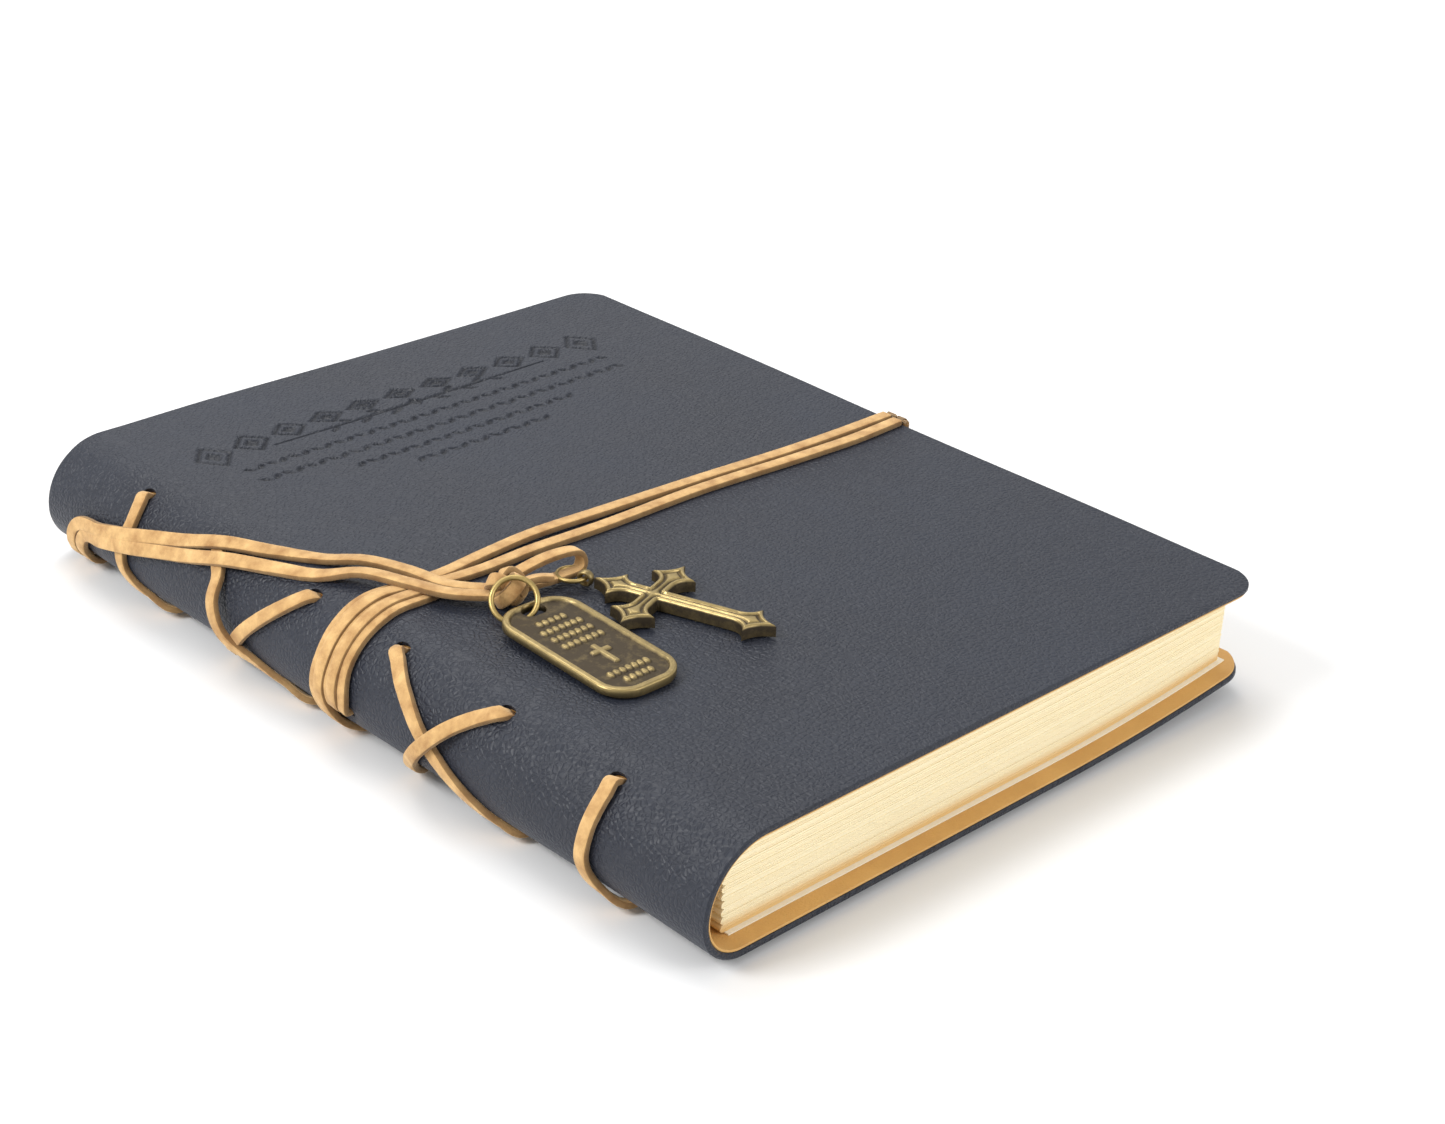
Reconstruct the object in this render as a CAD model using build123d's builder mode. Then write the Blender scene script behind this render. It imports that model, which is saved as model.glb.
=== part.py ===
from build123d import *
import os
from math import asin, cos, pi, radians, sin

# A soft, leather-covered prayer journal: wrap cover, sewn pages, laced spine, a wrap tie with two charms.
# Frame: X from the spine to the fore-edge, Y from the tail to the head, Z up. The origin is at the
# centre of the footprint, on the surface the book lies on. Millimetres and degrees.

os.makedirs("parts", exist_ok=True)

# ---- Driving dimensions ----------------------------------------------------------------------------
COVER_W = 154.0            # spine to fore-edge
COVER_L = 205.0            # tail to head
COVER_H = 23.8             # closed thickness of the cover
LEATHER_T = 1.3
LINING_T = 0.5
LINING_INSET = 0.4         # the lining stops this far inside the hide's edge
CORNER_R = 8.0             # round of the four free cover corners
SHOULDER_R = 14.0          # where the front cover rolls over into the spine
HEEL_R = 9.8               # where the spine rolls under into the back cover
CURL_X = 15.0              # from here to the fore-edge the back cover lifts gently
CURL_R = 530.0
LACE_W = 3.0               # flat suede lace
LACE_T = 1.4
SKIN_GAP = 0.05            # between a lace and the leather under it
HOLE_PLAY = 0.3            # each side of a lace in its hole
CUT_DEEP = 3.0             # hole cutters reach this far each way through the cover
BODY_GAP = 0.15            # half the gap between two bodies at the hinge line
PAPER_T = 0.3              # a flyleaf
PAPER_GAP = 0.25           # between the front flyleaf and the lining
BLOCK_INSET = 5.0          # cover edge past the page edges
BLOCK_BACK = -67.5         # where the folds of the signatures begin
SIGNATURES = 12
TURNING = 2                # signatures whose leaves turn with the front cover
ROUNDING = (0.6, 2.0)      # how far the folds of the turning signatures step in under the shoulder
LEAF_GAP = 0.2             # under the leaves that turn
SIG_GAP = 0.02             # under every other signature
HINGE_X = -61.0            # fold line of the front cover
THREAD_STATIONS = 6
THREAD_PITCH = 30.0
THREAD_W = 0.7
THREAD_T = 0.5
THREAD_OUT = 0.3           # middle of a stitch behind the folds
THREAD_SHORT = 5.0         # the block is this much taller than a stitch
CORD_R = LACE_W / 2        # a round cord with the width of the lace

# ---- Places worked out from them -------------------------------------------------------------------
HALF_W = COVER_W / 2
HALF_L = COVER_L / 2
UNDER = LACE_T + SKIN_GAP                  # underside of the back cover: the laces lie below it
TOP = UNDER + COVER_H                      # outer face of the front cover
SHOULDER_X = -HALF_W + SHOULDER_R
HEEL_X = -HALF_W + HEEL_R
BEND_Z = UNDER + HEEL_R                    # where the two spine rolls meet
SHELL_T = LEATHER_T + LINING_T
PAGE_EDGE = HALF_W - BLOCK_INSET
PAGE_HALF_L = HALF_L - BLOCK_INSET
BACK_PAPER_Z = UNDER + SHELL_T
BLOCK_Z = BACK_PAPER_Z + PAPER_T
FRONT_PAPER_Z = TOP - SHELL_T - PAPER_GAP - PAPER_T
BLOCK_TOP = FRONT_PAPER_Z - 0.1
SIG_T = (BLOCK_TOP - BLOCK_Z) / SIGNATURES
STRIP_LOW = TOP + SKIN_GAP                 # lower and upper face of a lace on the front cover
STRIP_HIGH = STRIP_LOW + LACE_T


# ---- Helpers ---------------------------------------------------------------------------------------
def save(piece, name):
    piece.part.label = name
    export_step(piece.part, f"parts/{name}.step")


def half_wrap(h, x_front, x_back):
    """The cover's outer line, h outside it, from x_front on top, round the spine, to x_back below."""
    Line((x_front, TOP + h), (SHOULDER_X, TOP + h))
    CenterArc((SHOULDER_X, BEND_Z), SHOULDER_R + h, 90, 90)
    CenterArc((HEEL_X, BEND_Z), HEEL_R + h, 180, 90)
    if x_back > CURL_X:
        turn = asin((x_back - CURL_X) / CURL_R)
        Line((HEEL_X, UNDER - h), (CURL_X, UNDER - h))
        CenterArc((CURL_X, UNDER + CURL_R), CURL_R + h, 270, turn * 180 / pi)
    else:
        Line((HEEL_X, UNDER - h), (x_back, UNDER - h))


def wrap_end(h, x_back):
    """End point of half_wrap below."""
    if x_back <= CURL_X:
        return (x_back, UNDER - h)
    turn = asin((x_back - CURL_X) / CURL_R)
    return (CURL_X + (CURL_R + h) * sin(turn), UNDER + CURL_R - (CURL_R + h) * cos(turn))


def wrap_face(inner, outer, x_front, x_back):
    """Section of one layer of the wrap cover, between two offsets from its outer line."""
    with BuildSketch() as section:
        with BuildLine():
            half_wrap(outer, x_front, x_back)
            half_wrap(inner, x_front, x_back)
            Line((x_front, TOP + inner), (x_front, TOP + outer))
            Line(wrap_end(inner, x_back), wrap_end(outer, x_back))
        make_face()
    return section.sketch


def spine_place(angle, on_heel):
    """Point and outward normal on the cover, by the angle round the shoulder or the heel."""
    a = radians(angle)
    if on_heel:
        normal = Vector(-cos(a), 0, -sin(a))
        return Vector(HEEL_X, 0, BEND_Z) + normal * HEEL_R, normal
    normal = Vector(-sin(a), 0, cos(a))
    return Vector(SHOULDER_X, 0, BEND_Z) + normal * SHOULDER_R, normal


def hole_plane(angle, on_heel, y):
    point, normal = spine_place(angle, on_heel)
    return Plane(origin=(point.X, y, point.Z), x_dir=(0, 1, 0), z_dir=normal)


# ---- Laces: each goes out of a hole at the shoulder, round the spine, and in under the book ---------
SHOULDER_HOLE = 32.0       # degrees round the shoulder
HEEL_HOLE = 70.0           # degrees round the heel
# (y of the shoulder hole, y and height where it crosses the spine, y of the heel hole)
LACES = {
    "lace_1": (73.0, 74.0, 11.0, 61.0),
    "lace_2": (45.0, 35.5, 11.0, 12.0),
    "lace_3": (15.0, 27.0, 13.5, 39.0),
    "lace_4": (-12.5, -26.0, 14.5, -50.0),
    "lace_5": (-43.0, -32.0, 15.0, -20.0),
    "lace_6": (-72.5, -72.0, 11.0, -79.0),
}
LACE_CLEAR = 0.4           # the cut in a lower lace is this much wider than the upper one
UPPER_LACE = {"lace_3": "lace_2", "lace_4": "lace_5"}      # the first lies under the second
UNDER_DIAGONAL = ("lace_1", "lace_2")                      # these lie under the slanting tie strands
# The two slanting tie strands: X, Y points on the shoulder, then Y, Z points on the spine, where the
# last is the heel hole
DIAGONAL_SPLIT_X = -71.0
DIAGONAL_HOLE_Y = (96.5, 91.5)
DIAGONAL_TOP = (((HINGE_X - BODY_GAP, 19.0), (-63.5, 23.5), (-68.5, 33.5), (-73.0, 45.0)),
                ((HINGE_X - BODY_GAP, 10.0), (-66.0, 17.5), (-70.8, 28.0), (-74.6, 40.0)))
DIAGONAL_SIDE = (((36.0, 24.6), (43.4, 23.4), (56.2, 20.6), (67.9, 17.5), (82.0, 14.0), (96.5, 1.2)),
                 ((25.0, 24.8), (31.0, 23.8), (42.0, 20.9), (55.0, 17.6), (68.0, 14.4), (80.0, 11.6),
                  (91.5, 1.2)))
DIAGONAL_GAP = 0.3         # wider cut for a strand than the strand itself
BUNDLE_W = 1.8             # the five bunched strands stand half on edge
BUNDLE_STEP = 1.95
BUNDLE_Y = (3.9, 1.95, 0.0, -1.95, -3.9)
TIE_HOLE_Z = 6.5           # above the underside, where three of the bundle go into the spine
STUB_DEEP = 2.4            # an end of a lace goes in this far, and starts this far outside the cover
STUB_OUT = 0.5
HEEL_LAP = 0.6             # strands on the spine and below the book meet this far past the heel
BACK_STRANDS = (3.0, -0.4)  # y of the two strands that go on below the book
FRONT_STRANDS = ((-3.4, -1.2), (-0.2, 3.4))                # y at the fore-edge, y at the crossing
CROSSING_X = -44.0
BUNDLE_END_X = -50.0
STRAND_LAP = 0.4           # the long strands start this far past the end of the bunch
EDGE_LOW = 5.3             # the tie leaves the back cover's lifted edge here
EDGE_HIGH = TOP - 0.3
SLANT_FRONT = (((HINGE_X + 2 * BODY_GAP, 18.7), (-58.3, 13.0), (-54.2, 3.5), (-51.6, -4.6), (-48.5, -9.5)),
               ((HINGE_X + 2 * BODY_GAP, 9.7), (-58.5, 2.0), (-55.2, -7.0), (-51.0, -12.5)))

# ---- Charms ----------------------------------------------------------------------------------------
KNOT_C = (-45.9, -14.2, TOP + 3.2)
KNOT_R = 4.0
STUB_END = (-37.6, -18.6)
STUB_HIGH = (4.2, 5.6)     # above the front cover
RING_WIRE_R = 0.5
TAG_RING_C = (-48.7, -19.7, TOP + 4.0)
TAG_RING_N = (-0.52, -0.52, 0.68)
TAG_RING_R = 4.4
TAG_L = 36.4
TAG_W = 17.8
TAG_T = 1.8
TAG_RIM = 1.3
TAG_RECESS = 0.5
TAG_HOLE = (-47.06, -23.45, TOP + 2.4)     # on the ring's wire
TAG_HEAD = 2.6             # head edge to the middle of the hole
TAG_TILT = 1.9             # the ring under the head end lifts it
TAG_CORNER_R = 6.2
TAG_SLOT = (5.2, 3.6)
TAG_RELIEF = 0.35
TAG_BAR_W = 0.8
# (distance from the hole, half length) of each relief bar
TAG_BARS = ((-4.6, 3.2), (-7.8, 4.6), (-10.6, 5.2), (-13.4, 4.4), (-26.6, 4.6))
# (distance from the hole, width, height) of the two parts of the relief cross
TAG_CROSS = ((-20.8, 1.2, 6.4), (-19.6, 4.2, 1.2))
CROSS_EYE = (-29.8, -18.55, TOP + 2.0)
CROSS_TURN = 19.9          # degrees from -Y towards +X
CROSS_RING_R = 3.0
CROSS_WIRE_R = 0.45
CROSS_T = 2.6
CROSS_ARMS = (14.0, 26.0, 13.4, 13.4)      # head, foot and side arms from the middle
CROSS_HEAD_GAP = 0.8       # middle of the eye to the tip of the head
CROSS_NECK = 2.0           # half widths of an arm at its neck and its flare
CROSS_FLARE = 4.8
CROSS_NECK_BACK = 8.5      # from the tip back to the neck and to the flare
CROSS_FLARE_BACK = 5.0
CROSS_NECK_BEND = (2.9, 6.2)               # half width and distance back halfway along each curve
CROSS_TIP_BEND = (2.0, 3.2)
CROSS_LIFT = 0.3           # under the cross
EYE_R = 1.75
EYE_BORE_R = 0.8
EYE_W = 1.8
# Middle line of the loop of lace from the knot through the cross's ring and back
LOOP_ROUTE = ((-42.3, -11.0, TOP + 3.4), (-37.2, -11.4, TOP + 4.7), (-32.4, -12.3, TOP + 5.5),
              (-28.2, -13.3, TOP + 5.6), (-26.9, -13.7, TOP + 4.4), (-26.9, -14.1, TOP + 2.8),
              (-28.2, -14.5, TOP + 1.62), (-32.6, -14.4, TOP + 1.6), (-37.2, -13.9, TOP + 1.62),
              (-41.6, -13.2, TOP + 1.65))

hole_z_top = spine_place(SHOULDER_HOLE, False)[0].Z
hole_z_low = spine_place(HEEL_HOLE, True)[0].Z
LACE_END_X = spine_place(SHOULDER_HOLE, False)[0].X + 1.0


def lace_route(y_top, y_mid, z_mid, y_low):
    """Middle line of a lace as it shows from behind the spine."""
    return ThreePointArc((y_top, hole_z_top), (y_mid, z_mid), (y_low, hole_z_low - 0.6))


def lace_band(route, width):
    """A lace that hugs the cover, cut from the layer outside it along a route on the spine."""
    arc = lace_route(*route)
    with BuildPart() as band:
        with BuildSketch(Plane.XZ):
            add(wrap_face(SKIN_GAP, SKIN_GAP + LACE_T, HINGE_X, HINGE_X))
        extrude(amount=HALF_L, both=True)
        with BuildSketch(Plane.YZ.offset(LACE_END_X)):
            SlotArc(arc=arc, height=width)
        extrude(amount=-SHOULDER_R, mode=Mode.INTERSECT)
    return band.part


def hole_cut(angle, on_heel, y, wide, high, deep):
    """Cutter for a lace hole through the cover."""
    with BuildPart() as cutter:
        with BuildSketch(hole_plane(angle, on_heel, y)):
            Rectangle(wide, high)
        extrude(amount=deep, both=True)
    return cutter.part


def back_strip_face():
    """Section of a tie strand below the back cover, from the heel to just past the fore-edge."""
    far = HALF_W + SKIN_GAP + LACE_T
    with BuildSketch() as section:
        with BuildLine():
            ends = []
            for h in (SKIN_GAP, SKIN_GAP + LACE_T):
                turn = asin((far - CURL_X) / (CURL_R + h)) * 180 / pi
                Line((HEEL_X + HEEL_LAP, UNDER - h), (CURL_X, UNDER - h))
                edge = CenterArc((CURL_X, UNDER + CURL_R), CURL_R + h, 270, turn)
                ends.append(edge @ 1)
            Line(*ends)
            Line((HEEL_X + HEEL_LAP, UNDER - SKIN_GAP), (HEEL_X + HEEL_LAP, 0))
        make_face()
    return section.sketch


def ring_solid(centre, normal, radius, wire_r):
    with BuildPart(Plane(origin=centre, z_dir=normal)) as ring:
        Torus(radius, wire_r)
    return ring.part


# ---- Cover -----------------------------------------------------------------------------------------
HOLE_W = LACE_W + 2 * HOLE_PLAY
HOLE_T = LACE_T + 2 * HOLE_PLAY
TIE_HOLE_A = asin((HEEL_R - TIE_HOLE_Z) / HEEL_R) * 180 / pi
shoulder_cuts = [hole_cut(SHOULDER_HOLE, False, v[0], HOLE_W, HOLE_T, CUT_DEEP) for v in LACES.values()]
heel_cuts = [hole_cut(HEEL_HOLE, True, v[3], HOLE_W, HOLE_T, CUT_DEEP) for v in LACES.values()]
tie_cuts = [hole_cut(HEEL_HOLE, True, y, HOLE_W, HOLE_T, CUT_DEEP) for y in DIAGONAL_HOLE_Y]
tie_cuts.append(hole_cut(TIE_HOLE_A, True, BUNDLE_Y[3], 3 * BUNDLE_STEP + 2 * HOLE_PLAY, HOLE_T, CUT_DEEP))

# (name, inner and outer offset from the cover's outer line, inset from its free edges)
WRAP_LAYERS = (
    ("cover_leather_wrap", -LEATHER_T, 0, 0),
    ("cover_lining_wrap", -SHELL_T, -LEATHER_T, LINING_INSET),
)
for name, inner, outer, inset in WRAP_LAYERS:
    with BuildPart() as wrap:
        with BuildSketch(Plane.XZ):
            add(wrap_face(inner, outer, HINGE_X - BODY_GAP, HALF_W - inset))
        extrude(amount=HALF_L - inset, both=True)
        corners = wrap.edges().filter_by(lambda e: e.length < 2 * LEATHER_T and e.center().X > PAGE_EDGE)
        fillet(corners.filter_by(lambda e: abs(e.center().Y) > HALF_L - 1), CORNER_R)
        add(shoulder_cuts + heel_cuts + tie_cuts, mode=Mode.SUBTRACT)
    save(wrap, name)

# (name, lower and upper face, inset from the free edges)
FRONT_LAYERS = (
    ("cover_leather_front", TOP - LEATHER_T, TOP, 0),
    ("cover_lining_front", TOP - SHELL_T, TOP - LEATHER_T, LINING_INSET),
)
for name, low, high, inset in FRONT_LAYERS:
    with BuildPart() as front:
        with BuildSketch(Plane.XY.offset(low)):
            with Locations(((HINGE_X + BODY_GAP + HALF_W - inset) / 2, 0)):
                Rectangle(HALF_W - inset - HINGE_X - BODY_GAP, COVER_L - 2 * inset)
            fillet(vertices().sort_by(Axis.X)[-2:], CORNER_R)
        extrude(amount=high - low)
    save(front, name)


# ---- Pages -----------------------------------------------------------------------------------------
def page_line(share, z_start, x_start):
    """A line through the book at a share of its height: 0 follows the back cover, 1 is level."""
    if share > 0.999:
        return [Line((x_start, z_start), (PAGE_EDGE, z_start))]
    radius = (CURL_R - (z_start - UNDER)) / (1 - share)
    turn = asin((PAGE_EDGE - CURL_X) / radius) * 180 / pi
    level = Line((x_start, z_start), (CURL_X, z_start))
    lifted = CenterArc((CURL_X, z_start + radius), radius, 270, turn)
    return [level, lifted]


def page_profile(k, low_cut, x_start, folded):
    """Section of signature k, cut back by low_cut below, with a round fold if it is folded."""
    z_low = BLOCK_Z + k * SIG_T + low_cut
    z_high = BLOCK_Z + (k + 1) * SIG_T
    with BuildSketch() as section:
        with BuildLine():
            below = page_line(k / SIGNATURES, z_low, x_start)
            above = page_line((k + 1) / SIGNATURES, z_high, x_start)
            Line(below[-1] @ 1, above[-1] @ 1)
            if folded:
                fold = (x_start - SIG_T / 2, (z_low + z_high) / 2)
                ThreePointArc((x_start, z_low), fold, (x_start, z_high))
            else:
                Line((x_start, z_low), (x_start, z_high))
        make_face()
    return section.sketch


for k in range(SIGNATURES - TURNING):
    with BuildPart() as signature:
        with BuildSketch(Plane.XZ):
            add(page_profile(k, SIG_GAP, BLOCK_BACK, True))
        extrude(amount=PAGE_HALF_L, both=True)
    save(signature, f"signature_{k + 1:02d}")

for k in range(SIGNATURES - TURNING, SIGNATURES):
    z_low = BLOCK_Z + k * SIG_T + SIG_GAP
    z_high = BLOCK_Z + (k + 1) * SIG_T
    back = BLOCK_BACK + ROUNDING[k - SIGNATURES + TURNING]
    with BuildPart() as fold:
        with BuildSketch(Plane.XZ):
            with BuildLine():
                Polyline((back, z_low), (HINGE_X - BODY_GAP, z_low), (HINGE_X - BODY_GAP, z_high),
                         (back, z_high))
                ThreePointArc((back, z_low), (back - SIG_T / 2, (z_low + z_high) / 2), (back, z_high))
            make_face()
        extrude(amount=PAGE_HALF_L, both=True)
    save(fold, f"signature_{k + 1:02d}_fold")
    with BuildPart() as leaves:
        with BuildSketch(Plane.XZ):
            add(page_profile(k, LEAF_GAP, HINGE_X + BODY_GAP, False))
        extrude(amount=PAGE_HALF_L, both=True)
    save(leaves, f"signature_{k + 1:02d}_leaves")

with BuildPart() as back_flyleaf:
    with BuildSketch(Plane.XZ):
        with BuildLine():
            lower = page_line(0, BACK_PAPER_Z + 0.01, BLOCK_BACK + 0.5)
            upper = page_line(0, BLOCK_Z, BLOCK_BACK + 0.5)
            Line(lower[-1] @ 1, upper[-1] @ 1)
            Line(lower[0] @ 0, upper[0] @ 0)
        make_face()
    extrude(amount=PAGE_HALF_L, both=True)
save(back_flyleaf, "back_flyleaf")

with BuildPart() as front_flyleaf:
    with BuildSketch(Plane.XY.offset(FRONT_PAPER_Z)):
        with Locations(((HINGE_X + BODY_GAP + PAGE_EDGE) / 2, 0)):
            Rectangle(PAGE_EDGE - HINGE_X - BODY_GAP, 2 * PAGE_HALF_L)
    extrude(amount=PAPER_T)
save(front_flyleaf, "front_flyleaf")

# Thread at each sewing station, lying across the folds
with BuildPart() as thread:
    with BuildSketch(Plane.XZ):
        with Locations((BLOCK_BACK - SIG_T / 2 - THREAD_OUT, (BLOCK_Z + BLOCK_TOP) / 2)):
            SlotOverall(BLOCK_TOP - BLOCK_Z - THREAD_SHORT, THREAD_T, rotation=90)
    extrude(amount=THREAD_W / 2, both=True)
stations = [(0, (i - (THREAD_STATIONS - 1) / 2) * THREAD_PITCH, 0) for i in range(THREAD_STATIONS)]
with BuildPart() as sewing_thread:
    with Locations(*stations):
        add(thread.part)
save(sewing_thread, "sewing_thread")


# ---- Laces and tie on the spine --------------------------------------------------------------------
def lace_stub(angle, on_heel, y, wide):
    """The end of a lace as it goes in through its hole."""
    with BuildPart() as stub:
        with BuildSketch(hole_plane(angle, on_heel, y).offset(-STUB_DEEP)):
            Rectangle(wide, LACE_T)
        extrude(amount=STUB_DEEP + STUB_OUT)
    return stub.part


bands = {n: lace_band(v, LACE_W) for n, v in LACES.items()}
clear_bands = {n: lace_band(LACES[n], LACE_W + LACE_CLEAR) for n in UPPER_LACE.values()}


def bundle_band(y, x_front, x_back, width):
    """A tie strand straight round the spine at one place along it."""
    with BuildPart() as band:
        with BuildSketch(Plane.XZ.offset(-y)):
            add(wrap_face(SKIN_GAP, SKIN_GAP + LACE_T, x_front, x_back))
        extrude(amount=width / 2, both=True)
    return band.part


def over_strip(points, width, low, high):
    """A flat strip on the front cover along a route of X, Y points."""
    with BuildPart() as strip:
        with BuildSketch(Plane.XY.offset(low)):
            with BuildLine():
                Polyline(*points)
            trace(line_width=width)
        extrude(amount=high - low)
    return strip.part


def diagonal_band(top_points, side_points, width):
    """A tie strand that slants along the spine: X, Y points on the shoulder, then Y, Z points."""
    with BuildPart() as layer:
        with BuildSketch(Plane.XZ):
            add(wrap_face(SKIN_GAP, SKIN_GAP + LACE_T, HINGE_X - BODY_GAP, HINGE_X))
        extrude(amount=HALF_L, both=True)
    with BuildPart() as upper:
        add(layer.part)
        with BuildSketch(Plane.XY.offset(BEND_Z)):
            with BuildLine():
                Polyline(*top_points)
            trace(line_width=width)
        extrude(amount=TOP, mode=Mode.INTERSECT)
        split(bisect_by=Plane.YZ.offset(DIAGONAL_SPLIT_X), keep=Keep.TOP)
    with BuildPart() as lower:
        add(layer.part)
        with BuildSketch(Plane.YZ.offset(DIAGONAL_SPLIT_X)):
            with BuildLine():
                Polyline(*side_points)
            trace(line_width=width)
        extrude(amount=-SHOULDER_R, mode=Mode.INTERSECT)
    return upper.part + lower.part


diagonal_upper = diagonal_band(DIAGONAL_TOP[0], DIAGONAL_SIDE[0], LACE_W)
diagonal_clear = diagonal_band(DIAGONAL_TOP[0], DIAGONAL_SIDE[0], LACE_W + DIAGONAL_GAP)
diagonal_lower = diagonal_band(DIAGONAL_TOP[1], DIAGONAL_SIDE[1], LACE_W) - diagonal_clear
diagonal_clear_lower = diagonal_band(DIAGONAL_TOP[1], DIAGONAL_SIDE[1], LACE_W + DIAGONAL_GAP)

for name, band in bands.items():
    y_top, _, _, y_low = LACES[name]
    with BuildPart() as lace:
        add(band)
        if name in UPPER_LACE:
            add(clear_bands[UPPER_LACE[name]], mode=Mode.SUBTRACT)
        add(lace_stub(SHOULDER_HOLE, False, y_top, LACE_W))
        add(lace_stub(HEEL_HOLE, True, y_low, LACE_W))
        if name in UNDER_DIAGONAL:
            add([diagonal_clear, diagonal_clear_lower], mode=Mode.SUBTRACT)
    save(lace, name)

with BuildPart() as tie_diagonal:
    add([diagonal_upper, diagonal_lower])
    for y in DIAGONAL_HOLE_Y:
        add(lace_stub(HEEL_HOLE, True, y, LACE_W))
save(tie_diagonal, "tie_diagonal_spine")

# Five strands bunched at the middle of the spine: two go on under the book, three end in the spine
with BuildPart() as tie_bundle:
    for y in BUNDLE_Y:
        add(bundle_band(y, HINGE_X - BODY_GAP, HEEL_X + STUB_OUT, BUNDLE_W))
    with BuildSketch(Plane.XY):
        with Locations((-HALF_W, BUNDLE_Y[3])):
            Rectangle(HALF_W, 3 * BUNDLE_STEP)
    extrude(amount=UNDER + TIE_HOLE_Z - LACE_T / 2, mode=Mode.SUBTRACT)
    with BuildSketch(hole_plane(TIE_HOLE_A, True, BUNDLE_Y[3]).offset(-STUB_DEEP)):
        Rectangle(3 * BUNDLE_STEP - 4 * SKIN_GAP, LACE_T)
    extrude(amount=STUB_DEEP + 3 * SKIN_GAP)
save(tie_bundle, "tie_bundle_spine")

with BuildPart() as tie_back:
    for y in BACK_STRANDS:
        with BuildSketch(Plane.XZ.offset(-y)):
            add(back_strip_face())
        extrude(amount=LACE_W / 2, both=True)
save(tie_back, "tie_strands_back")

with BuildPart() as tie_edge:
    for y_low, (y_top, _) in zip(BACK_STRANDS, reversed(FRONT_STRANDS)):
        with BuildSketch(Plane.XY.offset(EDGE_LOW)):
            with Locations((HALF_W + SKIN_GAP + LACE_T / 2, y_low)):
                Rectangle(LACE_T, LACE_W)
        with BuildSketch(Plane.XY.offset(EDGE_HIGH)):
            with Locations((HALF_W + SKIN_GAP + LACE_T / 2, y_top)):
                Rectangle(LACE_T, LACE_W)
        loft()
save(tie_edge, "tie_strands_fore_edge")

# ---- Tie on the front cover ------------------------------------------------------------------------
slant_clear = [over_strip(p, LACE_W + DIAGONAL_GAP, TOP, STRIP_HIGH + LACE_T) for p in SLANT_FRONT]
slant_lower = over_strip(SLANT_FRONT[1], LACE_W, STRIP_LOW, STRIP_HIGH) - slant_clear[0]
with BuildPart() as slant:
    add(over_strip(SLANT_FRONT[0], LACE_W, STRIP_LOW, STRIP_HIGH))
    add(slant_lower)
save(slant, "tie_diagonal_front")

with BuildPart() as bundle_front:
    for y in BUNDLE_Y:
        add(over_strip(((HINGE_X + BODY_GAP, y), (BUNDLE_END_X, y)), BUNDLE_W, STRIP_LOW, STRIP_HIGH))
    add(slant_clear, mode=Mode.SUBTRACT)
save(bundle_front, "tie_bundle_front")

for i, (y_edge, y_cross) in enumerate(FRONT_STRANDS):
    start = (BUNDLE_END_X + STRAND_LAP, BUNDLE_Y[3 - 2 * i])
    crossing = (CROSSING_X + LACE_W, y_cross)
    over_edge = (HALF_W + SKIN_GAP + LACE_T, y_edge)
    route = (start, crossing, over_edge)
    with BuildPart() as strand:
        add(over_strip(route, LACE_W, STRIP_LOW, STRIP_HIGH))
        add(slant_clear, mode=Mode.SUBTRACT)
    save(strand, f"tie_strand_front_{i + 1}")

# Knot: a tight ball of lace with a short stub, cleared for the ring that it is tied on
ring_clear = ring_solid(TAG_RING_C, TAG_RING_N, TAG_RING_R, RING_WIRE_R + HOLE_PLAY)
with BuildPart() as knot:
    with BuildSketch(Plane(origin=KNOT_C, x_dir=(1, 0, 0), z_dir=(0, -1, 0))):
        with BuildLine():
            CenterArc((0, 0), KNOT_R, -90, 180)
            Line((0, -KNOT_R), (0, KNOT_R))
        make_face()
    revolve(axis=Axis(KNOT_C, (0, 0, 1)))
    with BuildSketch(Plane.XY.offset(TOP - KNOT_R)):
        Rectangle(COVER_W, COVER_L)
    extrude(amount=KNOT_R + SKIN_GAP, mode=Mode.SUBTRACT)
    with BuildSketch(Plane.XY.offset(TOP + STUB_HIGH[0])):
        with BuildLine():
            Line(KNOT_C[:2], STUB_END)
        trace(line_width=LACE_W)
    extrude(amount=STUB_HIGH[1] - STUB_HIGH[0])
    add(slant_clear + [ring_clear], mode=Mode.SUBTRACT)
save(knot, "tie_knot")


def arc_radii(route):
    """As large an arc at each corner of a route as its two runs allow."""
    points = [Vector(*p) for p in route]
    radii = []
    for a, b, c in zip(points, points[1:], points[2:]):
        turn = radians((b - a).get_angle(c - b))
        radii.append(0.45 * min((b - a).length, (c - b).length) * cos(turn / 2) / sin(turn / 2))
    return radii


loop_radii = arc_radii(LOOP_ROUTE)
print("loop arcs", [round(r, 1) for r in loop_radii])
# The loop of lace that holds the cross's ring, as a round cord of the lace's width
loop_start = Plane(origin=LOOP_ROUTE[0], z_dir=Vector(*LOOP_ROUTE[1]) - Vector(*LOOP_ROUTE[0]))
with BuildPart() as loop:
    with BuildLine() as loop_line:
        FilletPolyline(*LOOP_ROUTE, radius=loop_radii)
    with BuildSketch(loop_start):
        Circle(CORD_R)
    sweep()
loop_length = loop_line.wires()[0].length
print("loop", round(loop_length, 1), "mm, volume over section times length",
      round(loop.part.volume / (pi * CORD_R ** 2 * loop_length), 4))
save(loop, "tie_loop")

with BuildPart() as tag_ring:
    add(ring_solid(TAG_RING_C, TAG_RING_N, TAG_RING_R, RING_WIRE_R))
save(tag_ring, "tag_ring")


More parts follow.
